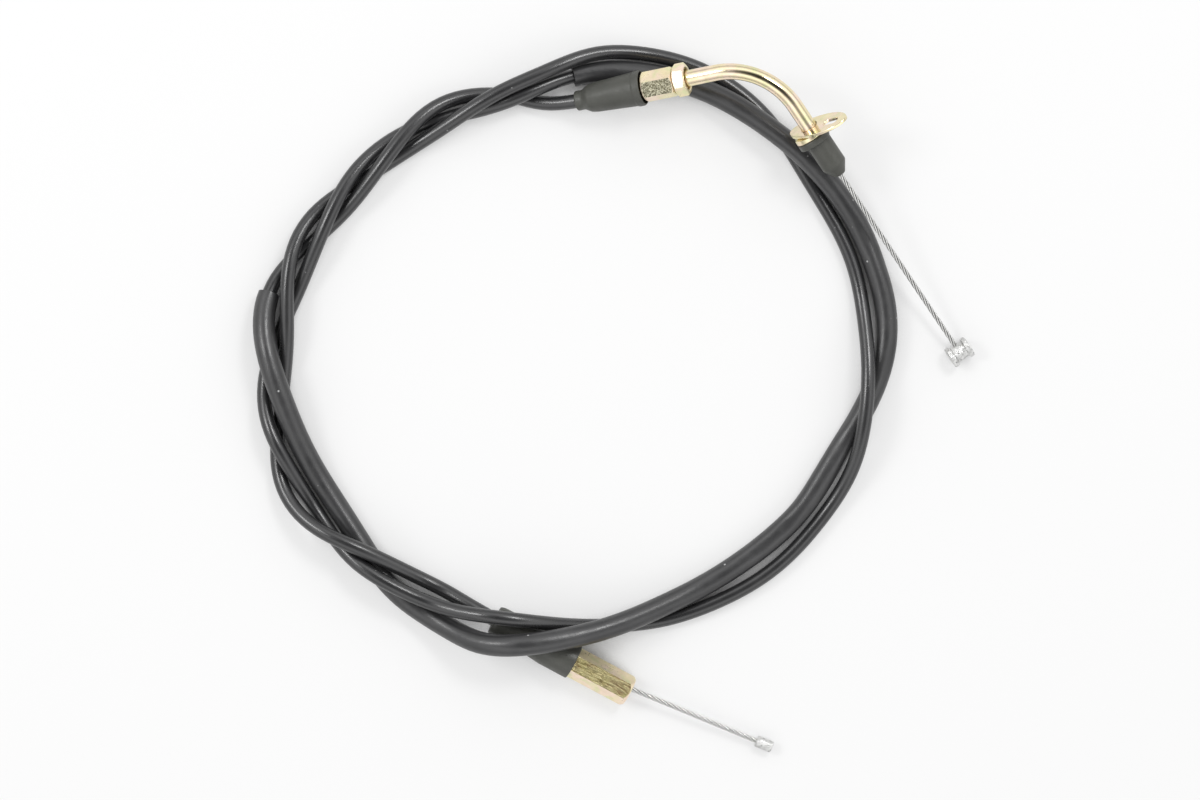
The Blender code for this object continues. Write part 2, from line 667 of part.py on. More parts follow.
def slot_cutter(frame):
    # Two round ends joined by a straight run
    radius = plate_slot_width / 2
    reach = plate_slot_length / 2 - radius
    shape = bmesh.new()
    bmesh.ops.create_cone(shape, cap_ends=True, segments=24, radius1=radius, radius2=radius,
                          depth=plate_thickness * 3)
    for vertex in shape.verts:
        vertex.co.x += plate_slot_offset + math.copysign(reach, vertex.co.x)
    mesh = bpy.data.meshes.new("plate_slot")
    shape.to_mesh(mesh)
    shape.free()
    return add_object("plate_slot", mesh, None, frame, cutter=True)


def make_collar_and_seal(plate_frame):
    frame = axis_frame(plate_centre, seat_direction)
    flange_frame = axis_frame(plate_centre - side_way * collar_shift, seat_direction)
    collar_high = collar_low + collar_length
    edge = 0.0003
    disc = [(0.0, collar_high), (collar_radius - edge, collar_high), (collar_radius, collar_high - edge),
            (collar_radius, collar_low + edge), (collar_radius - edge, collar_low), (0.0, collar_low)]
    collar = turned("plate_collar", disc, flange_frame, "zinc_gold")
    boolean(collar, pipe_hole(frame, 0.0060))
    boolean(collar, plate_space(plate_frame))
    low = collar_high + brazed_gap
    flange = low + seal_flange_length
    body = flange + seal_body_length
    high = low + seal_length
    outside = [(0.0, high), (seal_tip_radius - edge, high), (seal_tip_radius, high - edge),
               (seal_body_radius - 0.0003, body), (seal_body_radius, body - 0.0006),
               (seal_body_radius, low + 2 * edge), (0.0, low + 2 * edge)]
    seal = turned("pipe_seal", outside, frame, "olive_rubber")
    disc = [(0.0, flange), (collar_radius - edge, flange), (collar_radius, flange - edge),
            (collar_radius, low + edge), (collar_radius - edge, low), (0.0, low)]
    boolean(seal, turned("seal_flange", disc, flange_frame, cutter=True), "UNION")
    pipe_end = pipe_past_plate + fit_gap
    inner = pipe_radius + fit_gap
    inside = [(0.0, high + 0.001), (wire_hole_radius, high + 0.001), (wire_hole_radius, pipe_end),
              (inner, pipe_end), (inner, low - 0.001), (0.0, low - 0.001)]
    boolean(seal, turned("seal_hole", inside, frame, cutter=True))
    return collar, seal, high


# Wires and nipples
def make_upper_wire(arc_end, seal_end):
    # Straight in the pipe and the seal, then easing down to the barrel on the table
    start = along_seat(arc_end + fit_gap)
    leave = along_seat(seal_end)
    plan = Vector((seat_direction.x, seat_direction.y, 0.0)).normalized()
    barrel = plate_centre + plan * plate_to_barrel_plan
    barrel.z = table_height + barrel_radius
    run = (barrel - leave).dot(plan)
    slope = -math.tan(elbow_end_fall)
    ease = (barrel.z - leave.z - slope * run) / run ** 2
    points = [start, leave]
    for k in range(1, 9):
        x = run * k / 8
        points.append(leave + plan * x + Vector((0.0, 0.0, slope * x + ease * x * x)))
    end_way = (points[-1] - points[-2]).normalized()
    points[-1] = barrel - end_way * 0.0001
    points.append(barrel + end_way * (barrel_waist_radius - fit_gap))
    wire = curve_tube("upper_wire", points, wire_radius, "bright_steel")
    half = barrel_length / 2
    edge = 0.0003
    spool = [(0.0, half), (barrel_radius - edge, half), (barrel_radius, half - edge),
             (barrel_radius, half - barrel_flange), (barrel_waist_radius, half - barrel_flange - edge),
             (barrel_waist_radius, -half + barrel_flange + edge), (barrel_radius, -half + barrel_flange),
             (barrel_radius, -half + edge), (barrel_radius - edge, -half), (0.0, -half)]
    across = Vector((-plan.y, plan.x, 0.0))
    nipple = turned("barrel_nipple", spool, axis_frame(barrel, across), "bright_steel")
    hole = [(0.0, barrel_radius), (nipple_hole_radius, barrel_radius), (nipple_hole_radius, -barrel_radius),
            (0.0, -barrel_radius)]
    boolean(nipple, turned("barrel_hole", hole, axis_frame(barrel, end_way), cutter=True, steps=24))
    pivot("upper_wire_slide", axis_frame(plate_centre, seat_direction), [wire, nipple])


def make_lower_wire():
    # The wire leaves the bore a little to one side and crosses its axis inside the hexagon
    nipple_centre = on_table(*lower_nipple_px, table_height + lower_nipple_radius + 0.0002)
    crossing = along_lower(-wire_cross_depth)
    way = (nipple_centre - crossing).normalized()
    start = crossing + way * (wire_cross_depth - wire_stub)
    half = lower_nipple_length / 2
    wire = curve_tube("lower_wire", [start, nipple_centre + way * (half - fit_gap)], wire_radius, "bright_steel")
    edge = 0.0003
    drum = [(lower_nipple_radius - edge, half), (lower_nipple_radius, half - edge),
            (lower_nipple_radius, -half + edge), (lower_nipple_radius - edge, -half),
            (nipple_hole_radius, -half), (nipple_hole_radius, half)]
    frame = axis_frame(nipple_centre, way)
    nipple = turned("lower_nipple", drum, frame, "bright_steel", hollow=True)
    pivot("lower_wire_slide", frame, [wire, nipple])
    print("lower wire way", [round(value, 5) for value in way])


# Lower fittings
def make_lower_hex():
    body = hexagon("lower_hex", lower_frame, lower_across_flats, lower_low, 0.0, lower_chamfer, "zinc_gold")
    bore = [(0.0, fit_gap), (lower_bore_radius, fit_gap), (lower_bore_radius, lower_low - fit_gap),
            (0.0, lower_low - fit_gap)]
    boolean(body, turned("lower_bore", bore, lower_frame, cutter=True))
    return body


def make_lower_boot():
    corner_room = lower_across_flats / math.sqrt(3.0) + 0.0001
    chamber = lower_cap_radius + fit_gap
    throat = jacket_radius + fit_gap
    step = lower_low - fit_gap
    cap_low = lower_cap_low - fit_gap
    lip = 0.0003
    edge = 0.0007
    outside = [(lower_boot_radius - lip, lower_mouth), (lower_boot_radius, lower_mouth - lip),
               (lower_boot_radius, step - 0.0015), (lower_boot_radius - 0.0006, cap_low),
               (lower_boot_tail_radius, lower_tip + 0.0016), (lower_boot_tail_radius - 0.0003, lower_tip + edge),
               (lower_boot_tip_radius, lower_tip)]
    inside = [(throat, lower_tip), (throat, cap_low), (chamber, cap_low), (chamber, step),
              (corner_room, step), (corner_room, lower_mouth)]
    return turned("lower_boot", outside + inside, lower_frame, "olive_rubber", hollow=True)


# Conduit, sleeve and the wire inside
def make_cord():
    line, sleeve_start, sleeve_stop = cord_route()
    points = [tuple(place) for place in line]
    flat = math.cos(math.pi / 8)
    curve_tube("conduit_jacket", points, jacket_radius, "black_jacket", wall=jacket_wall)
    winding_radius = (jacket_radius * flat - jacket_wall - layer_gap) / flat
    curve_tube("conduit_winding", points, winding_radius, "dark_steel", wall=winding_wall)
    liner_radius = (winding_radius * flat - winding_wall - layer_gap) / flat
    curve_tube("conduit_liner", points, liner_radius, "white_liner", wall=liner_wall)
    curve_tube("inner_wire", points, wire_radius, "bright_steel")
    curve_tube("protective_sleeve", points[sleeve_start:sleeve_stop + 1], sleeve_radius, "charcoal_sleeve",
               wall=sleeve_wall)


make_lock_nut()
make_adjuster()
make_cap("upper_end_cap", upper_frame, cap_high, cap_length, cap_radius, cap_front_wall)
make_upper_boot()
elbow_pieces, elbow_arc_end = make_elbow()
retaining_plate, plate_frame = make_plate()
plate_collar, pipe_seal, seal_end_at = make_collar_and_seal(plate_frame)
pivot("elbow_swivel", upper_frame, elbow_pieces + [retaining_plate, plate_collar, pipe_seal])
make_upper_wire(elbow_arc_end, seal_end_at)
make_lower_hex()
make_cap("lower_end_cap", lower_frame, lower_cap_high, lower_cap_length, lower_cap_radius, lower_cap_front_wall)
make_lower_boot()
make_lower_wire()
make_cord()
print("nut face", [round(value, 5) for value in nut_face], "way", [round(value, 5) for value in upper_direction])
print("plate", [round(value, 5) for value in plate_centre], "way", [round(value, 5) for value in seat_direction])
print("plate long way", [round(value, 5) for value in plate_frame.col[0][:3]])
print("lower end", [round(value, 5) for value in lower_end], "way", [round(value, 5) for value in lower_direction])
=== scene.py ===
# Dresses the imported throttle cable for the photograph's view, in metres
import math
import bmesh
import bpy
import numpy as np
from mathutils import Matrix, Vector


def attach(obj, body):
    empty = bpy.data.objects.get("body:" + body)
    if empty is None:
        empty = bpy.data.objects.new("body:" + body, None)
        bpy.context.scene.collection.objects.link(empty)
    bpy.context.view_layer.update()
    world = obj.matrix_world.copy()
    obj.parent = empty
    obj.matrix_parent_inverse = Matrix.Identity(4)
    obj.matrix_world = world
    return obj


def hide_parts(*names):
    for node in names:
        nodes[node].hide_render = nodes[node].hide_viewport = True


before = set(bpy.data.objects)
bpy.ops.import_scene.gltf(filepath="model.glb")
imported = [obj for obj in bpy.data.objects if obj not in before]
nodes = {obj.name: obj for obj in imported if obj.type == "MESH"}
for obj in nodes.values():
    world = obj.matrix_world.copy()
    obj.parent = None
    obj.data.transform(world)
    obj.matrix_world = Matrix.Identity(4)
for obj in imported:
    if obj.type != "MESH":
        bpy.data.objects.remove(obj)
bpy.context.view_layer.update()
print("frame loaded, nodes:", len(nodes))

photo = {"scale": 0.00037, "centre": (600.0, 400.0), "middle": (731.176, 408.925), "cameraHeight": 1.9}


def placeObject(label, data):
    made = bpy.data.objects.new(label, data)
    bpy.context.scene.collection.objects.link(made)
    return made


def makeCamera():
    data = bpy.data.cameras.new("photoCamera")
    data.sensor_width = 36.0
    data.lens = 36.0 * photo["cameraHeight"] / (1200 * photo["scale"])
    data.clip_end = 30.0
    camera = placeObject("photoCamera", data)
    across = (photo["centre"][0] - photo["middle"][0]) * photo["scale"]
    down = (photo["centre"][1] - photo["middle"][1]) * photo["scale"]
    camera.location = (across, -down, photo["cameraHeight"])  # straight down on the table
    bpy.context.scene.camera = camera


makeCamera()

# Places and sizes, the same as the part's own
fit = {"gap": 0.0003, "brazed": 0.00005, "wireHole": 0.0013}

upper = {
    "face": (687.5, 78.5, 0.0208), "plan": math.radians(10.4), "rise": math.radians(18.0),
    "nutLength": 0.0045, "nutFlats": 0.0107, "adjusterLength": 0.0122, "adjusterFlats": 0.0099,
    "adjusterTurn": math.radians(16.0), "thread": 0.0039, "threadLength": 0.0082, "threadBack": 0.0010,
    "socketDepth": 0.0053, "capRadius": 0.00375, "capWall": 0.0048,
    "nutChamfer": 0.0006, "adjusterChamfer": 0.0007,
    "bootLength": 0.0261, "bootMouth": 0.00665, "bootWaist": 0.0055, "bootTip": 0.0037, "bootTipLength": 0.0029,
    "bootWall": 0.0007, "facetClear": 0.0044,
}

elbow = {
    "pipe": 0.0030, "bore": 0.0021, "bend": 0.027, "toCorner": 0.0304, "toPlate": 0.0292,
    "endAngle": math.radians(-55.5), "endFall": math.radians(13.0), "pastPlate": 0.0080,
}

plate = {
    "length": 0.0260, "width": 0.0130, "thickness": 0.0012, "holeOffset": 0.0042, "slotOffset": 0.0102,
    "slotLength": 0.0065, "slotWidth": 0.0035, "fall": math.radians(23.5), "turn": math.radians(46.0),
    "collarRadius": 0.0062, "collarShift": 0.0011, "collarLow": 0.0009, "collarLength": 0.0024,
}

seal = {"flange": 0.0026, "radius": 0.00475, "body": 0.0112, "tip": 0.0023, "length": 0.0175}

barrel = {"plan": 0.0992, "radius": 0.0040, "length": 0.0087, "flange": 0.0018, "waist": 0.0031}

lower = {
    "end": (629.5, 692.0), "plan": math.radians(-28.4), "flats": 0.0102, "length": 0.0330, "chamfer": 0.0012,
    "bore": 0.0031, "bootFrom": 0.0233, "bootLength": 0.0334, "bootRadius": 0.0066, "bootTip": 0.0052,
    "bootTail": 0.0057, "capRadius": 0.0038, "capLength": 0.0077, "capWall": 0.0019, "stub": 0.0030,
    "crossDepth": 0.0130, "nipple": (764.0, 744.0), "nippleRadius": 0.0022, "nippleLength": 0.0063,
    "nippleHole": 0.0011, "nippleDimple": 0.0009, "facetClear": 0.0046,
}

cable = {
    "conduit": 0.00265, "sleeve": 0.00415, "sleeveInside": 0.00345, "strandGap": 0.0004, "gentleBend": 0.028,
    "spacing": 0.005, "rounds": 420, "near": 0.018, "strandPush": 0.3, "rodPush": 0.6,
    "smoothing": 0.02, "stiffening": 0.125, "tightest": 0.5,
}

# Route of the conduit: photo x, photo y, height in millimetres
routeFromBoot = [
    (550, 97.5, 3.9), (525, 98, 2.5), (500, 96, 2.5), (478, 94, 2.5), (452, 100, 3.4), (430, 112, 6.5),
    (410, 130, 9.0), (391, 152, 9.6), (375, 172, 8.8), (360, 192, 7.0), (345, 210, 4.5), (328, 230, 2.8),
    (306, 247, 2.5), (284, 266, 2.9)]
routeInSleeve = [
    (267, 293, 4.4), (267, 312, 5.0), (268, 334, 7.6), (271, 358, 9.5), (276, 382, 9.7), (284, 406, 9.3),
    (294, 430, 7.4), (306, 455, 5.2), (320, 480, 4.2), (335, 503, 4.0), (350, 527, 4.0), (365, 550, 4.0),
    (380, 572, 4.0), (396, 592, 4.0), (416, 608, 4.2), (440, 621, 5.5), (466, 631, 9.5), (494, 638, 14.0),
    (522, 641, 17.2), (550, 641, 17.6), (578, 636, 15.6), (608, 628, 12.2), (638, 617, 9.8), (665, 605, 7.4),
    (692, 592, 5.0), (720, 576, 4.0), (749, 556, 4.0), (775, 536, 4.0), (797, 514, 4.0), (818, 488, 4.0),
    (837, 461, 4.0), (852, 434, 4.0), (867, 404, 4.0), (877, 375, 4.0), (882, 345, 4.0), (882.5, 318, 4.0),
    (879, 287, 4.0), (870, 252, 4.0), (856, 221, 4.6), (838, 194, 6.2), (818, 171, 8.0), (801, 153, 9.2),
    (780, 136, 9.4), (760, 121, 9.0), (739, 107, 8.2), (717, 96, 6.8), (694, 86, 5.6), (668, 78, 4.4),
    (638, 73.5, 4.0), (604, 72, 4.0), (573, 76, 4.0)]
routeBack = [
    (550, 84, 5.8), (526, 93, 8.2), (503, 102, 7.6), (481, 110.5, 5.2), (460, 115.5, 3.2), (438, 119.5, 2.5),
    (418, 127, 2.5), (400, 137, 2.5), (380, 150, 3.4), (361, 168, 6.0), (346, 188, 8.0), (334, 208, 8.4),
    (323, 230, 8.2), (313, 252, 7.0), (304, 276, 4.4), (296, 298, 2.6), (288, 318, 2.5), (278, 338, 2.5),
    (269, 358, 2.5), (264, 382, 2.7), (266, 408, 4.0), (272, 432, 6.8), (282.5, 455, 7.6), (295, 476, 5.2),
    (308.5, 498, 3.0), (322, 517, 3.2), (335, 535.5, 5.6), (347, 552, 8.8), (363, 565, 10.8), (381, 578, 11.0),
    (402, 591, 10.6), (430, 603, 10.6), (458, 611.5, 12.0), (484, 617.5, 14.4), (510, 621.5, 15.6),
    (535, 624.5, 14.0), (560, 625.5, 10.4), (583, 625.5, 6.6), (604, 625.5, 3.8), (628, 624.5, 2.5),
    (662, 620, 2.5), (700, 608, 2.5), (737, 592, 2.5), (770, 572, 2.5), (799, 545, 2.5), (820, 520, 2.5),
    (836, 495, 2.9), (848, 470, 5.2), (857, 445, 8.4), (864, 415, 10.8), (869, 386, 10.6), (871, 358, 8.6),
    (870, 334, 6.0), (866, 308, 3.8), (858, 278, 2.6), (847, 248, 2.5), (834, 222, 2.5), (820, 200, 2.5),
    (806, 176, 2.5), (791, 151, 2.5), (776, 129, 2.5), (760, 110, 2.5), (742, 95, 2.5), (722, 81, 2.5),
    (701, 69, 2.5), (676, 60, 2.5), (646, 55.5, 2.5), (612, 56.5, 4.4), (580, 62.5, 8.2), (552, 70.5, 10.6),
    (526, 81, 11.8), (502, 92, 11.8), (481, 103, 10.6), (460, 115.5, 8.8), (440, 127.5, 6.0),
    (420, 140, 3.6), (401, 152.5, 2.5), (383, 164.5, 2.5), (364, 178, 2.5), (346, 190, 2.5), (328, 200, 2.6),
    (313, 214, 3.4), (302, 232, 5.6), (294, 252, 7.8), (289, 273, 8.4), (286, 296, 8.3), (284, 320, 7.8),
    (284, 345, 5.5), (284, 370, 3.2), (282, 397, 2.5), (279, 423, 2.5), (277, 446, 2.5), (277, 467, 3.0),
    (283, 490, 4.4), (298, 512, 7.4), (320, 531, 11.0), (344, 544, 13.2), (365, 553, 12.2),
    (385, 562.5, 9.2), (406, 572.5, 6.6), (432, 584, 4.8), (456, 596, 4.6), (476, 607.5, 6.2)]


def lineDirection(plan, rise):
    flat = math.cos(rise)
    return Vector((flat * math.cos(plan), flat * math.sin(plan), math.sin(rise)))


def onTable(px, py, height):
    nearer = 1.0 - height / photo["cameraHeight"]
    across = photo["centre"][0] + (px - photo["centre"][0]) * nearer - photo["middle"][0]
    down = photo["centre"][1] + (py - photo["centre"][1]) * nearer - photo["middle"][1]
    return Vector((across * photo["scale"], -down * photo["scale"], height))


def axisFrame(origin, along, side=Vector((0.0, 0.0, 1.0))):
    zAxis = along.normalized()
    xAxis = (side - zAxis * side.dot(zAxis)).normalized()
    turn = Matrix((xAxis, zAxis.cross(xAxis), zAxis)).transposed().to_4x4()
    return Matrix.Translation(origin) @ turn


# The three straight lines and the stations along them
upperWay = lineDirection(upper["plan"], upper["rise"])
nutFace = onTable(*upper["face"])
upperFrame = axisFrame(nutFace, upperWay)
elbowCorner = nutFace + upperWay * elbow["toCorner"]
seatWay = lineDirection(elbow["endAngle"], -elbow["endFall"])
sideWay = lineDirection(elbow["endAngle"] + math.pi / 2, 0.0)
plateCentre = elbowCorner + seatWay * elbow["toPlate"]
leanWay = lineDirection(elbow["endAngle"], -plate["fall"])
longWay = sideWay * math.cos(plate["turn"]) + leanWay.cross(sideWay) * math.sin(plate["turn"])
plateFrame = axisFrame(plateCentre, leanWay, longWay)
seatFrame = axisFrame(plateCentre, seatWay)
flangeFrame = axisFrame(plateCentre - sideWay * plate["collarShift"], seatWay)
lowerFall = math.asin((lower["bootRadius"] - lower["flats"] / 2) / lower["bootFrom"])
lowerWay = lineDirection(lower["plan"], -lowerFall)
lowerEnd = onTable(*lower["end"], lower["flats"] / 2 + 0.0001)
lowerFrame = axisFrame(lowerEnd, lowerWay)

adjusterHigh = -upper["nutLength"] - fit["gap"]
adjusterLow = adjusterHigh - upper["adjusterLength"]
socketFloor = adjusterLow + upper["socketDepth"]
capHigh = socketFloor - fit["gap"]
conduitTop = capHigh - upper["capWall"] - fit["gap"]
bootMouth = adjusterLow - fit["gap"]
bootTip = bootMouth - upper["bootLength"]
threadLow = -upper["threadBack"] - upper["threadLength"]
lowerLow = -lower["length"]
lowerMouth = -lower["bootFrom"]
lowerTip = lowerMouth - lower["bootLength"]
lowerCapHigh = lowerLow - fit["gap"]
conduitBottom = lowerCapHigh - lower["capWall"] - fit["gap"]
collarHigh = plate["collarLow"] + plate["collarLength"]
sealLow = collarHigh + fit["brazed"]
sealHigh = sealLow + seal["length"]


def alongUpper(distance):
    return nutFace + upperWay * distance


def alongSeat(distance):
    return plateCentre + seatWay * distance


def alongLower(distance):
    return lowerEnd + lowerWay * distance


# Smooth route of the cord, settled where it crosses itself
def smoothCurve(points, steps=16):
    line = np.vstack([2 * points[0] - points[1], points, 2 * points[-1] - points[-2]])
    samples = []
    for k in range(1, len(line) - 2):
        p0, p1, p2, p3 = line[k - 1:k + 3]
        t1 = math.sqrt(np.linalg.norm(p1 - p0))
        t2 = t1 + math.sqrt(np.linalg.norm(p2 - p1))
        t3 = t2 + math.sqrt(np.linalg.norm(p3 - p2))
        for t in np.linspace(t1, t2, steps, endpoint=False):
            a1 = (t1 - t) / t1 * p0 + t / t1 * p1
            a2 = (t2 - t) / (t2 - t1) * p1 + (t - t1) / (t2 - t1) * p2
            a3 = (t3 - t) / (t3 - t2) * p2 + (t - t2) / (t3 - t2) * p3
            b1 = (t2 - t) / t2 * a1 + t / t2 * a2
            b2 = (t3 - t) / (t3 - t1) * a2 + (t - t1) / (t3 - t1) * a3
            samples.append((t2 - t) / (t2 - t1) * b1 + (t - t1) / (t2 - t1) * b2)
    samples.append(points[-1])
    return np.array(samples)


def lengthsAlong(line):
    return np.concatenate([[0.0], np.cumsum(np.linalg.norm(np.diff(line, axis=0), axis=1))])


def evenPoints(line, spacing):
    along = lengthsAlong(line)
    stations = np.linspace(0.0, along[-1], max(2, round(along[-1] / spacing) + 1))
    return np.stack([np.interp(stations, along, line[:, k]) for k in range(3)], axis=1)


def closestShares(startA, endA, startB, endB):
    runA, runB, across = endA - startA, endB - startB, startA - startB
    a = (runA * runA).sum(axis=1)
    e = (runB * runB).sum(axis=1)
    b = (runA * runB).sum(axis=1)
    c = (runA * across).sum(axis=1)
    f = (runB * across).sum(axis=1)
    shareA = np.clip((b * f - c * e) / np.maximum(a * e - b * b, 1e-18), 0.0, 1.0)
    shareB = np.clip((b * shareA + f) / e, 0.0, 1.0)
    shareA = np.clip((b * shareB - c) / a, 0.0, 1.0)
    return shareA, shareB


def partings(startA, endA, startB, endB, least):
    # The pairs closer than least, how far each has to part, and its closest spot on either side
    shareA, shareB = closestShares(startA, endA, startB, endB)
    apart = startA + (endA - startA) * shareA[:, None]
    apart -= startB + (endB - startB) * shareB[:, None]
    size = np.maximum(np.linalg.norm(apart, axis=1), 1e-6)
    short = least - size
    hit = short > 0.0
    return hit, apart[hit] / size[hit, None] * short[hit, None], shareA[hit, None], shareB[hit, None]


def settle(line, radii, held, rods):
    line = line.copy()
    free = (~held).astype(float)[:, None]
    thick = np.minimum(radii[:-1], radii[1:])
    allFirst, allSecond = np.triu_indices(len(line) - 1, 5)
    rodStarts, rodEnds, rodRadii = (np.array([rod[k] for rod in rods]) for k in range(3))
    piece, rod = np.meshgrid(np.arange(len(line) - 1), np.arange(len(rods)), indexing="ij")
    piece, rod = piece.ravel(), rod.ravel()
    loose = ~(held[piece] | held[piece + 1])
    piece, rod = piece[loose], rod[loose]
    for turn in range(cable["rounds"]):
        if turn % 20 == 0:  # only strands near each other are looked at between these
            middles = (line[1:] + line[:-1]) / 2
            near = np.linalg.norm(middles[allFirst] - middles[allSecond], axis=1) < cable["near"]
            first, second = allFirst[near], allSecond[near]
        move = np.zeros_like(line)
        least = thick[first] + thick[second] + cable["strandGap"]
        hit, push, sa, sb = partings(line[first], line[first + 1], line[second], line[second + 1], least)
        push = push * cable["strandPush"]
        np.add.at(move, first[hit], push * (1 - sa))
        np.add.at(move, first[hit] + 1, push * sa)
        np.add.at(move, second[hit], -push * (1 - sb))
        np.add.at(move, second[hit] + 1, -push * sb)
        least = thick[piece] + rodRadii[rod] + cable["strandGap"]
        hit, push, sa, sb = partings(line[piece], line[piece + 1], rodStarts[rod], rodEnds[rod], least)
        push = push * cable["rodPush"]
        np.add.at(move, piece[hit], push * (1 - sa))
        np.add.at(move, piece[hit] + 1, push * sa)
        before, middle, after = line[:-2], line[1:-1], line[2:]
        sideA = np.linalg.norm(middle - before, axis=1)
        sideB = np.linalg.norm(after - middle, axis=1)
        sideC = np.linalg.norm(after - before, axis=1)
        twiceArea = np.linalg.norm(np.cross(middle - before, after - middle), axis=1)
        bend = sideA * sideB * sideC / np.maximum(2 * twiceArea, 1e-12)
        tight = np.clip(cable["gentleBend"] / bend - 1.0, 0.0, cable["tightest"])[:, None]
        pull = (before + after - 2 * middle) * (cable["smoothing"] + cable["stiffening"] * tight)
        move[1:-1] += pull
        move[:-2] -= pull * 0.5
        move[2:] -= pull * 0.5
        line += move * free
        line[:, 2] = np.where(held, line[:, 2], np.maximum(line[:, 2], radii))
    return line


def taperedRods(pointAt, stations):
    rods = []
    for (low, radiusLow), (high, radiusHigh) in zip(stations[:-1], stations[1:]):
        rods.append((np.array(pointAt(low)), np.array(pointAt(high)), max(radiusLow, radiusHigh)))
    return rods


def cordRoute():
    def spread(points):
        return [np.array(onTable(x, y, height * 0.001)) for x, y, height in points]

    head = [np.array(alongUpper(s)) for s in (conduitTop, (conduitTop + bootTip) / 2, bootTip - 0.0002)]
    tail = [np.array(alongLower(s)) for s in (lowerTip - 0.0002, (lowerTip + conduitBottom) / 2, conduitBottom)]
    sleevePoints = spread(routeInSleeve)
    whole = np.array(head[1:] + spread(routeFromBoot) + sleevePoints + spread(routeBack) + tail[:2])
    fine = smoothCurve(whole)
    steps = 16
    sleeveFrom = (2 + len(routeFromBoot)) * steps
    sleeveTo = sleeveFrom + (len(sleevePoints) - 1) * steps
    stretches = [fine[steps:sleeveFrom + 1], fine[sleeveFrom:sleeveTo + 1], fine[sleeveTo:len(fine) - steps]]
    parts = [evenPoints(stretch, cable["spacing"]) for stretch in stretches]
    line = np.vstack([head[:2], parts[0], parts[1][1:], parts[2][1:], tail[1:]])
    start = 2 + len(parts[0]) - 1
    stop = start + len(parts[1]) - 1
    radii = np.full(len(line), cable["conduit"])
    radii[start:stop + 1] = cable["sleeve"]
    held = np.zeros(len(line), bool)
    held[:3] = True
    held[-3:] = True
    rods = taperedRods(alongUpper, [
        (bootTip, upper["bootTip"]), (bootTip + upper["bootTipLength"], upper["bootTip"]),
        (bootTip + 0.4 * upper["bootLength"], upper["bootWaist"] + 0.0002), (bootMouth, upper["bootMouth"]),
        (0.0, upper["nutFlats"] / math.sqrt(3.0))])
    rods += taperedRods(alongLower, [
        (lowerTip, lower["bootTail"]), (lowerTip + 0.3 * lower["bootLength"], lower["bootRadius"]),
        (lowerMouth, lower["bootRadius"]), (0.0, lower["flats"] / math.sqrt(3.0))])
    flangeEnd = sealLow + seal["flange"]
    reach = plate["collarRadius"] + plate["collarShift"]
    rods.append((np.array(alongSeat(0.0)), np.array(alongSeat(flangeEnd)), reach))
    rods.append((np.array(alongSeat(flangeEnd)), np.array(alongSeat(sealHigh)), seal["radius"]))
    return settle(line, radii, held, rods), start, stop


cordLine, sleeveStart, sleeveStop = cordRoute()
print("cord settled, points:", len(cordLine), "length:", round(float(lengthsAlong(cordLine)[-1]), 4))


# Looks: shared groups first, then one material for each finish
white = (1.0, 1.0, 1.0, 1.0)


def groupTree(label, inputs, outputs):
    tree = bpy.data.node_groups.new(label, "ShaderNodeTree")
    for name, kind, value in inputs:
        made = tree.interface.new_socket(name=name, in_out="INPUT", socket_type=kind)
        made.default_value = value
    for name, kind in outputs:
        tree.interface.new_socket(name=name, in_out="OUTPUT", socket_type=kind)
    return tree, tree.nodes.new("NodeGroupInput"), tree.nodes.new("NodeGroupOutput")


def put(tree, kind, settings=None, **values):
    made = tree.nodes.new(kind)
    for name, value in (settings or {}).items():
        setattr(made, name, value)
    for name, value in values.items():
        socket = made.inputs[int(name[1:])] if name[0] == "i" and name[1:].isdigit() else made.inputs[name]
        if isinstance(value, bpy.types.NodeSocket):
            tree.links.new(value, socket)
        else:
            socket.default_value = value
    return made


def mathStep(tree, operation, first, second=0.0):
    return put(tree, "ShaderNodeMath", {"operation": operation}, i0=first, i1=second).outputs[0]


def mixColour(tree, share, first, second):
    made = put(tree, "ShaderNodeMix", {"data_type": "RGBA"}, i0=share, i6=first, i7=second)
    return made.outputs[2]


def remap(tree, value, low, high, toLow, toHigh):
    settings = {"clamp": True}
    return put(tree, "ShaderNodeMapRange", settings, i0=value, i1=low, i2=high, i3=toLow, i4=toHigh).outputs[0]


def objectPlace(tree):
    return put(tree, "ShaderNodeTexCoord").outputs["Object"]


def grainGroup():
    # Soft noise between two levels, for tone, roughness or height
    tree, start, end = groupTree("finishGrain", [
        ("Scale", "NodeSocketFloat", 400.0), ("Low", "NodeSocketFloat", 0.0), ("High", "NodeSocketFloat", 1.0),
        ("Sharpness", "NodeSocketFloat", 0.2)], [("Value", "NodeSocketFloat")])
    place = objectPlace(tree)
    scale = start.outputs["Scale"]
    noise = put(tree, "ShaderNodeTexNoise", Vector=place, Scale=scale, Detail=4.0, Roughness=0.6)
    low = mathStep(tree, "MULTIPLY_ADD", start.outputs["Sharpness"], 0.4)
    low.node.inputs[2].default_value = 0.25
    high = mathStep(tree, "SUBTRACT", 1.0, low)
    ranged = remap(tree, noise.outputs[0], low, high, start.outputs["Low"], start.outputs["High"])
    tree.links.new(ranged, end.inputs["Value"])
    return tree


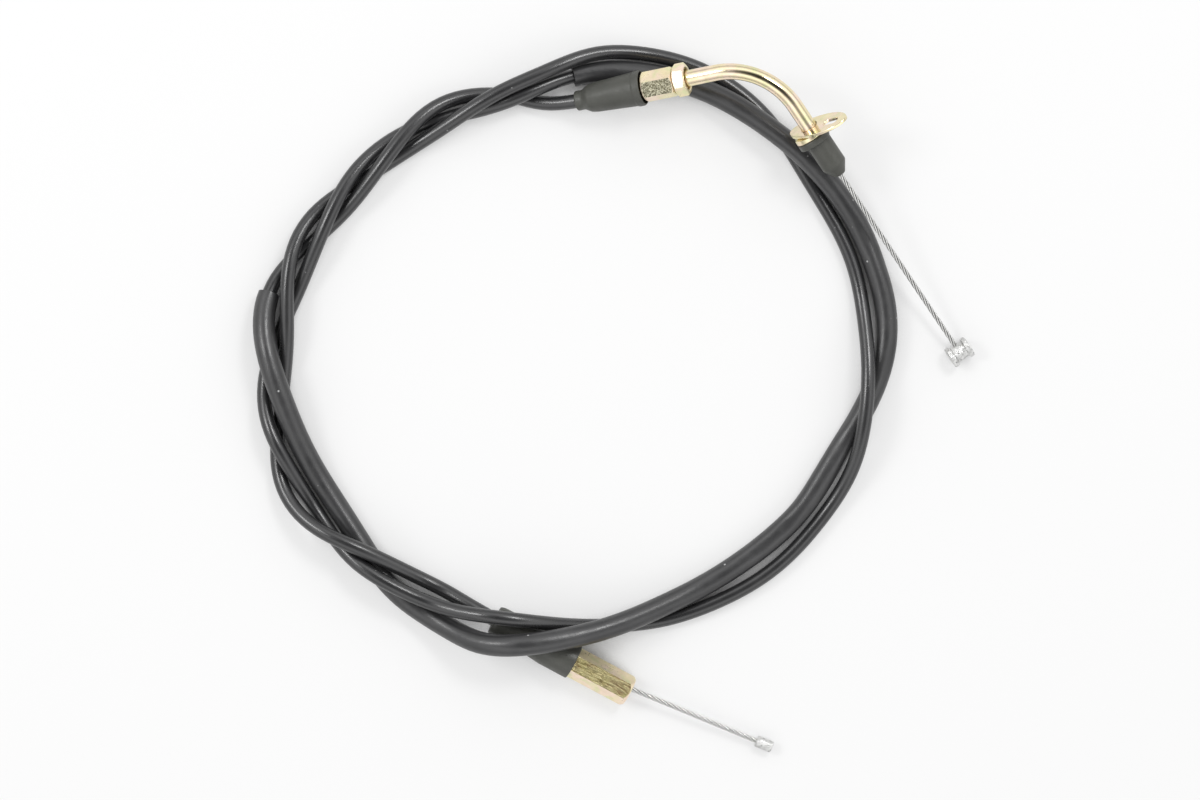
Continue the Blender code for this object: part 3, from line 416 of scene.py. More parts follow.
def speckGroup():
    # Small scattered specks: dust, lint and pits
    tree, start, end = groupTree("scatteredSpecks", [
        ("Scale", "NodeSocketFloat", 300.0), ("Share", "NodeSocketFloat", 0.1),
        ("Size", "NodeSocketFloat", 0.25)], [("Mask", "NodeSocketFloat")])
    place = objectPlace(tree)
    cells = put(tree, "ShaderNodeTexVoronoi", Vector=place, Scale=start.outputs["Scale"])
    lot = put(tree, "ShaderNodeSeparateColor", i0=cells.outputs["Color"]).outputs[0]
    chosen = mathStep(tree, "LESS_THAN", lot, start.outputs["Share"])
    halfSize = mathStep(tree, "MULTIPLY", start.outputs["Size"], 0.5)
    inside = remap(tree, cells.outputs["Distance"], start.outputs["Size"], halfSize, 0.0, 1.0)
    tree.links.new(mathStep(tree, "MULTIPLY", chosen, inside), end.inputs["Mask"])
    return tree


def edgeGroup():
    # Where edges turn sharply, the finish is rubbed thin
    tree, start, end = groupTree("rubbedEdges", [
        ("Width", "NodeSocketFloat", 0.0003), ("Gain", "NodeSocketFloat", 6.0),
        ("Patches", "NodeSocketFloat", 500.0)], [("Mask", "NodeSocketFloat")])
    soft = put(tree, "ShaderNodeBevel", {"samples": 4}, Radius=start.outputs["Width"])
    plain = put(tree, "ShaderNodeNewGeometry")
    alike = put(tree, "ShaderNodeVectorMath", {"operation": "DOT_PRODUCT"}, i0=soft.outputs[0],
                i1=plain.outputs["Normal"])
    turned = mathStep(tree, "MULTIPLY", mathStep(tree, "SUBTRACT", 1.0, alike.outputs["Value"]),
                      start.outputs["Gain"])
    place = objectPlace(tree)
    patches = put(tree, "ShaderNodeTexNoise", Vector=place, Scale=start.outputs["Patches"], Detail=3.0)
    mask = mathStep(tree, "MULTIPLY", turned, remap(tree, patches.outputs[0], 0.35, 0.62, 0.2, 1.0))
    mask.node.use_clamp = True
    tree.links.new(mask, end.inputs["Mask"])
    return tree


def tintGroup():
    # Thin plating shifts between three tints from place to place
    tree, start, end = groupTree("platingTint", [
        ("Scale", "NodeSocketFloat", 160.0), ("First", "NodeSocketColor", white),
        ("Second", "NodeSocketColor", white), ("Third", "NodeSocketColor", white)],
        [("Color", "NodeSocketColor")])
    place = objectPlace(tree)
    scale = start.outputs["Scale"]
    broad = put(tree, "ShaderNodeTexNoise", Vector=place, Scale=scale, Detail=2.0, Distortion=0.6)
    finer = mathStep(tree, "MULTIPLY", scale, 1.7)
    other = put(tree, "ShaderNodeTexNoise", Vector=place, Scale=finer, Detail=2.0, Distortion=0.4)
    shareA = remap(tree, broad.outputs[0], 0.40, 0.60, 0.0, 1.0)
    shareB = remap(tree, other.outputs[0], 0.48, 0.66, 0.0, 0.8)
    mixed = mixColour(tree, shareA, start.outputs["First"], start.outputs["Second"])
    tree.links.new(mixColour(tree, shareB, mixed, start.outputs["Third"]), end.inputs["Color"])
    return tree


finishGrain = grainGroup()
scatteredSpecks = speckGroup()
rubbedEdges = edgeGroup()
platingTint = tintGroup()


def useGroup(tree, group, **values):
    made = tree.nodes.new("ShaderNodeGroup")
    made.node_tree = group
    for name, value in values.items():
        made.inputs[name].default_value = value
    return made.outputs[0]


def grain(tree, scale, low, high, sharpness):
    return useGroup(tree, finishGrain, Scale=scale, Low=low, High=high, Sharpness=sharpness)


def startMaterial(label, roughness, metallic=0.0, specular=0.5):
    made = bpy.data.materials.new(label)
    made.use_nodes = True
    shader = made.node_tree.nodes["Principled BSDF"]
    shader.inputs["Roughness"].default_value = roughness
    shader.inputs["Metallic"].default_value = metallic
    shader.inputs["Specular IOR Level"].default_value = specular
    return made, made.node_tree, shader


def addBump(tree, shader, height, distance):
    bump = put(tree, "ShaderNodeBump", Height=height, Distance=distance)
    tree.links.new(bump.outputs[0], shader.inputs["Normal"])


zincTints = {
    "Scale": 120.0, "First": (0.89, 0.78, 0.51, 1.0), "Second": (0.93, 0.75, 0.61, 1.0),
    "Third": (0.74, 0.76, 0.43, 1.0),
}


def yellowZinc(label, smoothest, roughest, metallic):
    made, tree, shader = startMaterial(label, smoothest, metallic)
    tint = useGroup(tree, platingTint, **zincTints)
    dull = grain(tree, 300.0, 0.0, 0.24, 0.2)
    toned = mixColour(tree, dull, tint, (0.56, 0.44, 0.23, 1.0))
    worn = useGroup(tree, rubbedEdges, Width=0.0003, Gain=4.0, Patches=600.0)
    bright = mixColour(tree, mathStep(tree, "MULTIPLY", worn, 0.5), toned, (0.94, 0.91, 0.80, 1.0))
    pits = useGroup(tree, scatteredSpecks, Scale=1000.0, Share=0.06, Size=0.24)
    tree.links.new(mixColour(tree, mathStep(tree, "MULTIPLY", pits, 0.6), bright, (0.20, 0.15, 0.07, 1.0)),
                   shader.inputs["Base Color"])
    tree.links.new(grain(tree, 200.0, smoothest, roughest, 0.2), shader.inputs["Roughness"])
    addBump(tree, shader, grain(tree, 900.0, 0.0, 1.0, 0.0), 0.000006)
    return made


def speckledZincPaintedShade():
    # The flat that faces up on the adjuster: rough metal under thin plating, speckled light over a base painted
    # dark as shade for the dark room it reflects
    made, tree, shader = startMaterial("speckledZincPaintedShade", 0.42, 1.0)
    speckle = grain(tree, 2100.0, 0.0, 1.0, 0.75)
    broad = grain(tree, 380.0, 0.0, 0.45, 0.3)
    # Painted shade: this dark base tone stands in for the dark room above that the up-facing flat reflects
    paintedShadeTone = mixColour(tree, broad, (0.13, 0.12, 0.08, 1.0), (0.28, 0.25, 0.14, 1.0))
    tree.links.new(mixColour(tree, speckle, paintedShadeTone, (0.62, 0.59, 0.44, 1.0)), shader.inputs["Base Color"])
    tree.links.new(grain(tree, 900.0, 0.30, 0.55, 0.2), shader.inputs["Roughness"])
    addBump(tree, shader, speckle, 0.00010)
    return made


def streakedZincPaintedShade():
    # The flat that faces up on the lower hexagon: drawn along its length, with streaks over an olive to brown
    # base painted dark as shade for the dark room it reflects
    made, tree, shader = startMaterial("streakedZincPaintedShade", 0.40, 1.0)
    place = objectPlace(tree)
    turned = put(tree, "ShaderNodeMapping", {"vector_type": "TEXTURE"}, Vector=place,
                 Rotation=(0.0, 0.0, lower["plan"]), Scale=(9.0, 1.0, 1.0))
    streak = put(tree, "ShaderNodeTexNoise", Vector=turned.outputs[0], Scale=1500.0, Detail=4.0,
                 Roughness=0.65)
    share = remap(tree, streak.outputs[0], 0.38, 0.64, 0.0, 1.0)
    broad = grain(tree, 160.0, 0.0, 1.0, 0.3)
    # Painted shade: the dark olive and brown base stands in for the dark room above that the up-facing flat
    # reflects
    base = mixColour(tree, broad, (0.29, 0.19, 0.10, 1.0), (0.40, 0.35, 0.14, 1.0))
    tree.links.new(mixColour(tree, share, base, (0.64, 0.58, 0.32, 1.0)), shader.inputs["Base Color"])
    tree.links.new(grain(tree, 700.0, 0.30, 0.50, 0.2), shader.inputs["Roughness"])
    addBump(tree, shader, share, 0.00006)
    return made


def strandSteel():
    # The crown attribute is 1 on the back of each strand and 0 in the groove between two; the grooves are
    # painted near black as shade
    made, tree, shader = startMaterial("strandSteel", 0.30, 1.0)
    crown = put(tree, "ShaderNodeAttribute", {"attribute_name": "crown"}).outputs["Fac"]
    tone = 0.96
    speckle = grain(tree, 1200.0, 0.0, 0.35, 0.2)
    back = mixColour(tree, speckle, (tone, tone, tone * 0.98, 1.0), (tone * 0.6, tone * 0.59, tone * 0.57, 1.0))
    # Painted shade: near black in the grooves between strands
    tree.links.new(mixColour(tree, crown, (0.015, 0.015, 0.015, 1.0), back), shader.inputs["Base Color"])
    tree.links.new(grain(tree, 800.0, 0.22, 0.38, 0.2), shader.inputs["Roughness"])
    addBump(tree, shader, speckle, 0.00003)
    return made


# Finishes of two tones with marks over them; tone, sheen and relief are grain values
mixedLooks = {
    "bright": {
        "label": "castBrightZinc", "start": (0.34, 1.0), "tone": (700.0, 0.0, 1.0, 0.3),
        "first": (0.80, 0.80, 0.79, 1.0), "second": (0.52, 0.52, 0.51, 1.0),
        "marks": scatteredSpecks, "markSize": {"Scale": 1100.0, "Share": 0.16, "Size": 0.34},
        "markShare": 1.0, "markColour": (0.15, 0.15, 0.15, 1.0),
        "sheen": (600.0, 0.24, 0.5, 0.2), "relief": (900.0, 0.0, 1.0, 0.1), "height": 0.00022,
    },
    "plainSteel": {
        "label": "plainSteel", "start": (0.36, 1.0), "tone": (1200.0, 0.0, 1.0, 0.2),
        "first": (0.60, 0.60, 0.588, 1.0), "second": (0.42, 0.414, 0.402, 1.0),
    },
    "conduit": {
        "label": "blackConduit", "start": (0.30, 0.0, 0.8), "tone": (90.0, 0.0, 1.0, 0.1),
        "first": (0.014, 0.014, 0.015, 1.0), "second": (0.024, 0.024, 0.025, 1.0),
        "marks": scatteredSpecks, "markSize": {"Scale": 420.0, "Share": 0.04, "Size": 0.16},
        "markShare": 0.5, "markColour": (0.42, 0.42, 0.42, 1.0),
        "sheen": (120.0, 0.25, 0.33, 0.1), "relief": (140.0, 0.0, 1.0, 0.0), "height": 0.00002,
    },
    "sleeve": {
        "label": "charcoalSleeve", "start": (0.42, 0.0, 0.7), "tone": (70.0, 0.0, 1.0, 0.2),
        "first": (0.022, 0.022, 0.023, 1.0), "second": (0.035, 0.035, 0.036, 1.0),
        "marks": scatteredSpecks, "markSize": {"Scale": 360.0, "Share": 0.07, "Size": 0.17},
        "markShare": 0.7, "markColour": (0.55, 0.55, 0.55, 1.0),
        "sheen": (180.0, 0.29, 0.42, 0.2), "relief": (150.0, 0.0, 1.0, 0.0), "height": 0.00008,
    },
    "rubber": {
        "label": "oliveRubber", "start": (0.46,), "tone": (120.0, 0.0, 1.0, 0.1),
        "first": (0.048, 0.049, 0.042, 1.0), "second": (0.066, 0.067, 0.058, 1.0),
        "marks": rubbedEdges, "markSize": {"Width": 0.0004, "Gain": 2.5, "Patches": 500.0},
        "markShare": 0.4, "markColour": (0.13, 0.13, 0.115, 1.0),
        "sheen": (300.0, 0.38, 0.54, 0.2), "relief": (1100.0, 0.0, 1.0, 0.0), "height": 0.00005,
    },
    "liner": {
        "label": "linerPlastic", "start": (0.45,), "tone": (500.0, 0.0, 1.0, 0.1),
        "first": (0.66, 0.66, 0.61, 1.0), "second": (0.74, 0.74, 0.70, 1.0),
    },
}


def mixedFinish(look):
    made, tree, shader = startMaterial(look["label"], *look["start"])
    colour = mixColour(tree, grain(tree, *look["tone"]), look["first"], look["second"])
    if "marks" in look:
        marks = useGroup(tree, look["marks"], **look["markSize"])
        marked = mathStep(tree, "MULTIPLY", marks, look["markShare"])
        colour = mixColour(tree, marked, colour, look["markColour"])
        tree.links.new(grain(tree, *look["sheen"]), shader.inputs["Roughness"])
        addBump(tree, shader, grain(tree, *look["relief"]), look["height"])
    tree.links.new(colour, shader.inputs["Base Color"])
    return made


looks = {
    "zinc": yellowZinc("glossyYellowZinc", 0.10, 0.19, 1.0),
    "softZinc": yellowZinc("softYellowZinc", 0.26, 0.38, 0.72),
    "speckled": speckledZincPaintedShade(),
    "streaked": streakedZincPaintedShade(),
    "strand": strandSteel(),
}
for name, look in mixedLooks.items():
    looks[name] = mixedFinish(look)
print("materials made:", len(looks))


# Mesh helpers
def addPiece(label, mesh, finish):
    mesh.materials.clear()
    mesh.materials.append(looks[finish])
    return placeObject(label, mesh)


def aroundCircle(count):
    return np.linspace(0.0, 2 * math.pi, count, endpoint=False)


def flatRing(radius, angles, z):
    return np.stack([radius * np.cos(angles), radius * np.sin(angles), np.full(len(angles), z)], axis=1)


def tidyMesh(mesh, angle=32.0):
    shape = bmesh.new()
    shape.from_mesh(mesh)
    bmesh.ops.remove_doubles(shape, verts=shape.verts, dist=0.000002)
    bmesh.ops.recalc_face_normals(shape, faces=shape.faces)
    shape.to_mesh(mesh)
    shape.free()
    mesh.polygons.foreach_set("use_smooth", [True] * len(mesh.polygons))
    mesh.set_sharp_from_angle(angle=math.radians(angle))
    mesh.update()


def ringMesh(label, rings, closed, turnFrame=None):
    # Rings of equal count joined one to the next, closed in a loop or capped at both ends
    count = len(rings[0])
    total = len(rings)
    faces = []
    for i in range(total if closed else total - 1):
        a, b = i * count, ((i + 1) % total) * count
        faces += [(a + j, a + (j + 1) % count, b + (j + 1) % count, b + j) for j in range(count)]
    if not closed:
        faces.append(tuple(range(count)))
        faces.append(tuple((total - 1) * count + j for j in range(count)))
    mesh = bpy.data.meshes.new(label)
    mesh.from_pydata([tuple(p) for p in np.concatenate(rings)], [], faces)
    if turnFrame is not None:
        mesh.transform(turnFrame)
    tidyMesh(mesh)
    return mesh


def softened(profile, radius, closed=False, steps=3):
    # Rounds each corner of a profile and holds the flat stretches beside it
    points = [Vector((r, z)) for r, z in profile]
    made = []
    last = len(points) - 1
    for k, point in enumerate(points):
        if not closed and k in (0, last):
            made.append(point)
            continue
        before, after = points[k - 1], points[(k + 1) % len(points)]
        back, ahead = before - point, after - point
        reach = min(radius, back.length * 0.42, ahead.length * 0.42)
        back, ahead = back.normalized(), ahead.normalized()
        start, end = point + back * reach, point + ahead * reach
        made.append(start + back * reach * 0.15)
        for step in range(steps + 1):
            t = step / steps
            made.append(start * (1 - t) ** 2 + point * 2 * t * (1 - t) + end * t ** 2)
        made.append(end + ahead * reach * 0.15)
    return [(max(p.x, 0.00001), p.y) for p in made]


def lathe(label, profile, turnFrame, rounding=0.0002, closed=True, segments=72):
    points = softened(profile, rounding, closed)
    angles = aroundCircle(segments)
    return ringMesh(label, [flatRing(r, angles, z) for r, z in points], closed, turnFrame)


hexEdges = {"crown": 0.98, "wide": 1.02, "soft": 0.00007, "sharp": math.radians(24.0)}


def hexBar(label, turnFrame, flats, low, high, chamfer, bore, turn=0.0, segments=144):
    # A hexagonal bar whose ends are turned to a cone, with its bore as the inner rings
    angles = aroundCircle(segments) + turn
    side = math.pi / 3
    away = np.mod(angles - turn + side / 2, side) - side / 2
    flat = flats / 2 / np.cos(away)
    crown, wide = flats / 2 * hexEdges["crown"], flats / math.sqrt(3.0) * hexEdges["wide"]
    soft = hexEdges["soft"]

    def ring(z, shrink=0.0):
        depth = max(min(high - z, z - low), 0.0)
        cone = crown + (wide - crown) * depth / chamfer
        least = np.minimum(flat, cone)
        radius = least - soft * np.log(np.exp((least - flat) / soft) + np.exp((least - cone) / soft)) - shrink
        return flatRing(radius, angles, z)

    inner = np.linspace(0.00015, chamfer * 1.1, 9)
    middle = np.linspace(low + chamfer * 1.3, high - chamfer * 1.3, 6)
    rings = [ring(low, 0.00018), ring(low + 0.00005, 0.00005)] + [ring(low + d) for d in inner]
    rings += [ring(z) for z in middle] + [ring(high - d) for d in inner[::-1]]
    rings += [ring(high - 0.00005, 0.00005), ring(high, 0.00018)]
    rings += [flatRing(r, angles, z) for r, z in bore]
    mesh = ringMesh(label, rings, True, turnFrame)
    mesh.set_sharp_from_angle(angle=hexEdges["sharp"])
    return mesh


def pathFrames(path):
    tangents = np.gradient(path, axis=0)
    tangents /= np.linalg.norm(tangents, axis=1)[:, None]
    ups = np.array([0.0, 0.0, 1.0]) - tangents * tangents[:, 2:3]
    ups /= np.linalg.norm(ups, axis=1)[:, None]
    return np.cross(tangents, ups), ups


def ringAt(centre, side, up, radius, sides):
    angles = aroundCircle(sides)
    return centre + (np.cos(angles) * radius)[:, None] * side + (np.sin(angles) * radius)[:, None] * up


def tubeAlong(label, path, outer, sides, inner=None):
    # outer and inner give a radius for each station, or one for each side of it
    path = np.array(path)
    across, ups = pathFrames(path)
    rings = [ringAt(path[k], across[k], ups[k], outer[k], sides) for k in range(len(path))]
    if inner is not None:
        order = range(len(path) - 1, -1, -1)
        rings += [ringAt(path[k], across[k], ups[k], inner[k], sides) for k in order]
    return ringMesh(label, rings, inner is not None)


def cutWith(mesh, toolMesh, operation="DIFFERENCE"):
    piece, tool = placeObject("shaping", mesh), placeObject("shapingTool", toolMesh)
    step = piece.modifiers.new("shape", "BOOLEAN")
    step.operation = operation
    step.object = tool
    step.solver = "EXACT"
    graph = bpy.context.evaluated_depsgraph_get()
    result = bpy.data.meshes.new_from_object(piece.evaluated_get(graph))
    for made in (piece, tool):
        bpy.data.objects.remove(made, do_unlink=True)
    return result


facet = {"square": 0.02, "alike": 0.985}


def facetFinish(piece, finish, axisPoint, axisWay, clear):
    # The outer facet that faces up most takes a finish of its own, which paints shade on it for the dark room
    # above that it reflects
    mesh = piece.data
    outer = []
    for face in mesh.polygons:
        away = face.center - axisPoint
        away -= axisWay * away.dot(axisWay)
        square = abs(face.normal.dot(axisWay)) < facet["square"]
        if away.length > clear and square and away.dot(face.normal) > 0.0:
            outer.append(face)
    best = max(outer, key=lambda face: (round(face.normal.z, 3), face.area)).normal.copy()
    mesh.materials.append(looks[finish])
    for face in outer:
        if face.normal.dot(best) > facet["alike"]:
            face.material_index = 1
    return piece


def roundEdges(piece, width, segments=2):
    step = piece.modifiers.new("softEdges", "BEVEL")
    step.width = width
    step.segments = segments
    step.limit_method = "ANGLE"
    step.angle_limit = math.radians(32.0)
    step.harden_normals = False


def dress(piece, body, slotName, *replaced):
    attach(piece, body)
    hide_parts(*replaced)


# Conduit and sleeve
conduitLooks = {"station": 0.003, "sides": 28}
sleeveLooks = {
    "station": 0.0025, "sides": 40, "seed": 7, "dents": 16, "ovalness": 0.035, "slim": 0.99,
    "leanSwing": 0.6, "leanRate": 9.0, "leanStart": 1.0, "drawnIn": 0.00012, "lowest": 0.00002,
    "marks": [(865, 235, 0.0005, 0.007), (783, 518, 0.0007, 0.003), (700, 590, 0.0003, 0.009)],
}


def makeConduit():
    path = evenPoints(smoothCurve(cordLine, 4), conduitLooks["station"])
    mesh = tubeAlong("conduitTube", path, np.full(len(path), cable["conduit"]), conduitLooks["sides"])
    return addPiece("conduitTube", mesh, "conduit"), path


def makeSleeve():
    chosen = sleeveLooks
    path = evenPoints(smoothCurve(cordLine[sleeveStart:sleeveStop + 1], 4), chosen["station"])
    along = lengthsAlong(path)
    sides = chosen["sides"]
    angles = aroundCircle(sides)
    seeded = np.random.default_rng(chosen["seed"])
    dents = [(seeded.uniform(0.01, along[-1] - 0.01), seeded.uniform(0.2, 2.9), seeded.uniform(0.0001, 0.0004),
              seeded.uniform(0.004, 0.012), seeded.uniform(0.35, 0.8)) for k in range(chosen["dents"])]
    for px, py, depth, length in chosen["marks"]:
        spot = np.array(onTable(px, py, 0.004))
        nearest = int(np.argmin(np.linalg.norm(path[:, :2] - spot[:2], axis=1)))
        dents.append((along[nearest], 1.5, depth, length, 0.6))
    waves = [(seeded.uniform(18, 60), seeded.uniform(0, 6.28)) for k in range(3)]
    outer = []
    for s in along:
        oval = sum(math.sin(rate * s + phase) for rate, phase in waves) / 3 * chosen["ovalness"]
        lean = chosen["leanSwing"] * math.sin(chosen["leanRate"] * s + chosen["leanStart"])
        radius = cable["sleeve"] * (chosen["slim"] + oval * np.cos(2 * (angles - lean)))
        for at, where, depth, length, width in dents:
            turn = np.mod(angles - where + math.pi, 2 * math.pi) - math.pi
            radius = radius - depth * math.exp(-((s - at) / length) ** 2) * np.exp(-(turn / width) ** 2)
        outer.append(radius)
    outer = np.array(outer)
    inner = outer - (cable["sleeve"] - cable["sleeveInside"])
    outer[[0, -1]] -= chosen["drawnIn"]  # the cut ends are slightly drawn in
    mesh = tubeAlong("protectiveSleeve", path, outer, sides, inner)
    for vertex in mesh.vertices:
        vertex.co.z = max(vertex.co.z, chosen["lowest"])
    return addPiece("sleeveTube", mesh, "sleeve")


conduitTube, conduitPath = makeConduit()
sleeveTube = makeSleeve()
dress(conduitTube, "conduit", "black_jacket", "conduit_jacket", "conduit_winding", "conduit_liner",
      "inner_wire")
dress(sleeveTube, "conduit", "charcoal_sleeve", "protective_sleeve")
print("conduit and sleeve made")


# Stranded wires by geometry nodes
strands = {"Pitch": 0.0168, "Wire Radius": 0.0009, "Strand Radius": 0.00031, "Step": 0.0006}


def strandTree():
    tree = bpy.data.node_groups.new("strandedWire", "GeometryNodeTree")
    tree.interface.new_socket(name="Line", in_out="INPUT", socket_type="NodeSocketGeometry")
    for name, value in strands.items():
        made = tree.interface.new_socket(name=name, in_out="INPUT", socket_type="NodeSocketFloat")
        made.default_value = value
    tree.interface.new_socket(name="Finish", in_out="INPUT", socket_type="NodeSocketMaterial")
    tree.interface.new_socket(name="Wire", in_out="OUTPUT", socket_type="NodeSocketGeometry")
    start = tree.nodes.new("NodeGroupInput")
    end = tree.nodes.new("NodeGroupOutput")
    line = put(tree, "GeometryNodeMeshToCurve", i0=start.outputs["Line"])
    even = tree.nodes.new("GeometryNodeResampleCurve")
    even.mode = "LENGTH"
    tree.links.new(line.outputs[0], even.inputs["Curve"])
    tree.links.new(start.outputs["Step"], even.inputs["Length"])
    along = tree.nodes.new("GeometryNodeSplineParameter").outputs["Length"]
    tilt = mathStep(tree, "MULTIPLY", mathStep(tree, "DIVIDE", along, start.outputs["Pitch"]), 2 * math.pi)
    twisted = put(tree, "GeometryNodeSetCurveTilt", Curve=even.outputs[0], Tilt=tilt)
    circle = put(tree, "GeometryNodeCurvePrimitiveCircle", Resolution=60)
    spot = tree.nodes.new("GeometryNodeInputPosition").outputs[0]
    parts = put(tree, "ShaderNodeSeparateXYZ", i0=spot)
    angle = mathStep(tree, "ARCTAN2", parts.outputs[1], parts.outputs[0])
    sixth = mathStep(tree, "FRACT", mathStep(tree, "DIVIDE", angle, math.pi / 3))
    lobe = mathStep(tree, "MULTIPLY", mathStep(tree, "SUBTRACT", sixth, 0.5), math.pi / 3)
    ringRadius = mathStep(tree, "SUBTRACT", start.outputs["Wire Radius"], start.outputs["Strand Radius"])
    offAxis = mathStep(tree, "MULTIPLY", ringRadius, mathStep(tree, "SINE", lobe))
    strandSquare = mathStep(tree, "MULTIPLY", start.outputs["Strand Radius"], start.outputs["Strand Radius"])
    squared = mathStep(tree, "SUBTRACT", strandSquare, mathStep(tree, "MULTIPLY", offAxis, offAxis))
    rest = mathStep(tree, "SQRT", mathStep(tree, "MAXIMUM", squared, 0.0))
    reach = mathStep(tree, "ADD", mathStep(tree, "MULTIPLY", ringRadius, mathStep(tree, "COSINE", lobe)), rest)
    unit = put(tree, "ShaderNodeVectorMath", {"operation": "NORMALIZE"}, i0=spot)
    place = put(tree, "ShaderNodeVectorMath", {"operation": "SCALE"}, i0=unit.outputs[0], Scale=reach)
    flower = put(tree, "GeometryNodeSetPosition", Geometry=circle.outputs[0], Position=place.outputs[0])
    # crown is 1 on each strand's back and 0 in the grooves; the wire's material paints shade into the grooves
    # from it
    edge = mathStep(tree, "MULTIPLY", mathStep(tree, "ABSOLUTE", mathStep(tree, "SUBTRACT", sixth, 0.5)), 2.0)
    crown = mathStep(tree, "SUBTRACT", 1.0, mathStep(tree, "POWER", edge, 1.2))
    marked = put(tree, "GeometryNodeStoreNamedAttribute", {"data_type": "FLOAT", "domain": "POINT"},
                 Geometry=flower.outputs[0], Name="crown", Value=crown)
    skin = tree.nodes.new("GeometryNodeCurveToMesh")
    tree.links.new(twisted.outputs[0], skin.inputs["Curve"])
    tree.links.new(marked.outputs[0], skin.inputs["Profile Curve"])
    skin.inputs["Fill Caps"].default_value = True
    whole = tree.nodes.new("GeometryNodeRealizeInstances")
    tree.links.new(skin.outputs[0], whole.inputs[0])
    coloured = put(tree, "GeometryNodeSetMaterial", Geometry=whole.outputs[0], Material=start.outputs["Finish"])
    tree.links.new(coloured.outputs[0], end.inputs[0])
    return tree


strandNodes = strandTree()


def strandedWire(label, points):
    data = bpy.data.meshes.new(label)
    data.from_pydata([tuple(point) for point in points], [(k, k + 1) for k in range(len(points) - 1)], [])
    holder = placeObject(label + "Line", data)
    step = holder.modifiers.new("strands", "NODES")
    step.node_group = strandNodes
    items = strandNodes.interface.items_tree
    sockets = {item.name: item.identifier for item in items if item.in_out == "INPUT"}
    for name, value in strands.items():
        step[sockets[name]] = value
    step[sockets["Finish"]] = looks["strand"]
    graph = bpy.context.evaluated_depsgraph_get()
    mesh = bpy.data.meshes.new_from_object(holder.evaluated_get(graph))
    holder.modifiers.clear()
    bpy.data.objects.remove(holder, do_unlink=True)
    tidyMesh(mesh, 60.0)
    return addPiece(label, mesh, "strand")


def elbowArc(steps):
    inward = (nutFace - elbowCorner).normalized()
    outward = (plateCentre - elbowCorner).normalized()
    half = (math.pi - inward.angle(outward)) / 2
    reach = elbow["bend"] * math.tan(half)
    middle = elbowCorner + (inward + outward).normalized() * elbow["bend"] / math.cos(half)
    start = elbowCorner + inward * reach - middle
    turnAxis = start.cross(elbowCorner + outward * reach - middle).normalized()
    turns = [Matrix.Rotation(2 * half * k / steps, 3, turnAxis) for k in range(steps + 1)]
    return [middle + turn @ start for turn in turns], reach


arcPoints, arcReach = elbowArc(40)
arcEnd = arcReach - elbow["toPlate"]


def makeUpperWire():
    start = alongSeat(arcEnd + fit["gap"])
    leave = alongSeat(sealHigh)
    plan = Vector((seatWay.x, seatWay.y, 0.0)).normalized()
    centre = plateCentre + plan * barrel["plan"]
    centre.z = barrel["radius"]
    run = (centre - leave).dot(plan)
    slope = -math.tan(elbow["endFall"])
    ease = (centre.z - leave.z - slope * run) / run ** 2
    points = [start, leave]
    for k in range(1, 33):
        x = run * k / 32
        points.append(leave + plan * x + Vector((0.0, 0.0, slope * x + ease * x * x)))
    wire = strandedWire("upperWire", points)
    half, edge, flange = barrel["length"] / 2, 0.0003, barrel["flange"]
    radius, waist = barrel["radius"], barrel["waist"]
    spool = [(0.0, half), (radius - edge, half), (radius, half - edge), (radius, half - flange),
             (waist, half - flange - edge), (waist, -half + flange + edge), (radius, -half + flange),
             (radius, -half + edge), (radius - edge, -half), (0.0, -half)]
    across = Vector((-plan.y, plan.x, 0.0))
    mesh = lathe("barrelNipple", spool, axisFrame(centre, across), 0.00025, closed=False)
    return wire, addPiece("barrelNipple", mesh, "bright")


def makeLowerWire():
    centre = onTable(*lower["nipple"], lower["nippleRadius"] + 0.0002)
    crossing = alongLower(-lower["crossDepth"])
    way = (centre - crossing).normalized()
    start = crossing + way * (lower["crossDepth"] - lower["stub"])
    half, radius = lower["nippleLength"] / 2, lower["nippleRadius"]
    wire = strandedWire("lowerWire", [start, centre + way * (half - fit["gap"])])
    edge = 0.0003
    drum = [(0.0, half - 0.0004), (lower["nippleDimple"], half - 0.0003), (lower["nippleHole"], half),
            (radius - edge, half), (radius, half - edge), (radius, -half + edge), (radius - edge, -half),
            (0.0, -half)]
    mesh = lathe("drumNipple", drum, axisFrame(centre, way), 0.0002, closed=False)
    return wire, addPiece("drumNipple", mesh, "bright")


upperWire, barrelNipple = makeUpperWire()
lowerWire, drumNipple = makeLowerWire()
dress(upperWire, "upper_pull", "bright_steel", "upper_wire")
dress(barrelNipple, "upper_pull", "bright_steel", "barrel_nipple")
dress(lowerWire, "lower_pull", "bright_steel", "lower_wire")
dress(drumNipple, "lower_pull", "bright_steel", "lower_nipple")
print("wires and nipples made")


# Fittings
thread = {"pitch": 0.0010, "depth": 0.00045, "perPitch": 10}


def makeNut():
    bore = upper["thread"] + fit["gap"]
    rings = [(bore + 0.0003, 0.0), (bore, -0.0003), (bore, -upper["nutLength"] + 0.0003),
             (bore + 0.0003, -upper["nutLength"])]
    return hexBar("lockNut", upperFrame, upper["nutFlats"], -upper["nutLength"], 0.0,
                  upper["nutChamfer"], rings)


def makeAdjuster():
    threadBore, floor = upper["thread"] + fit["gap"], threadLow - fit["gap"]
    cup = upper["capRadius"] + fit["gap"]
    rings = [(threadBore, adjusterHigh), (threadBore, floor), (fit["wireHole"], floor),
             (fit["wireHole"], socketFloor), (cup, socketFloor), (cup, adjusterLow)]
    return hexBar("adjusterBody", upperFrame, upper["adjusterFlats"], adjusterLow, adjusterHigh,
                  upper["adjusterChamfer"], rings, upper["adjusterTurn"])


def makeLowerHex():
    rings = [(lower["bore"] + 0.0003, 0.0), (lower["bore"], -0.0003), (lower["bore"], lowerLow + 0.0003),
             (lower["bore"] + 0.0003, lowerLow)]
    return hexBar("lowerHex", lowerFrame, lower["flats"], lowerLow, 0.0, lower["chamfer"], rings)


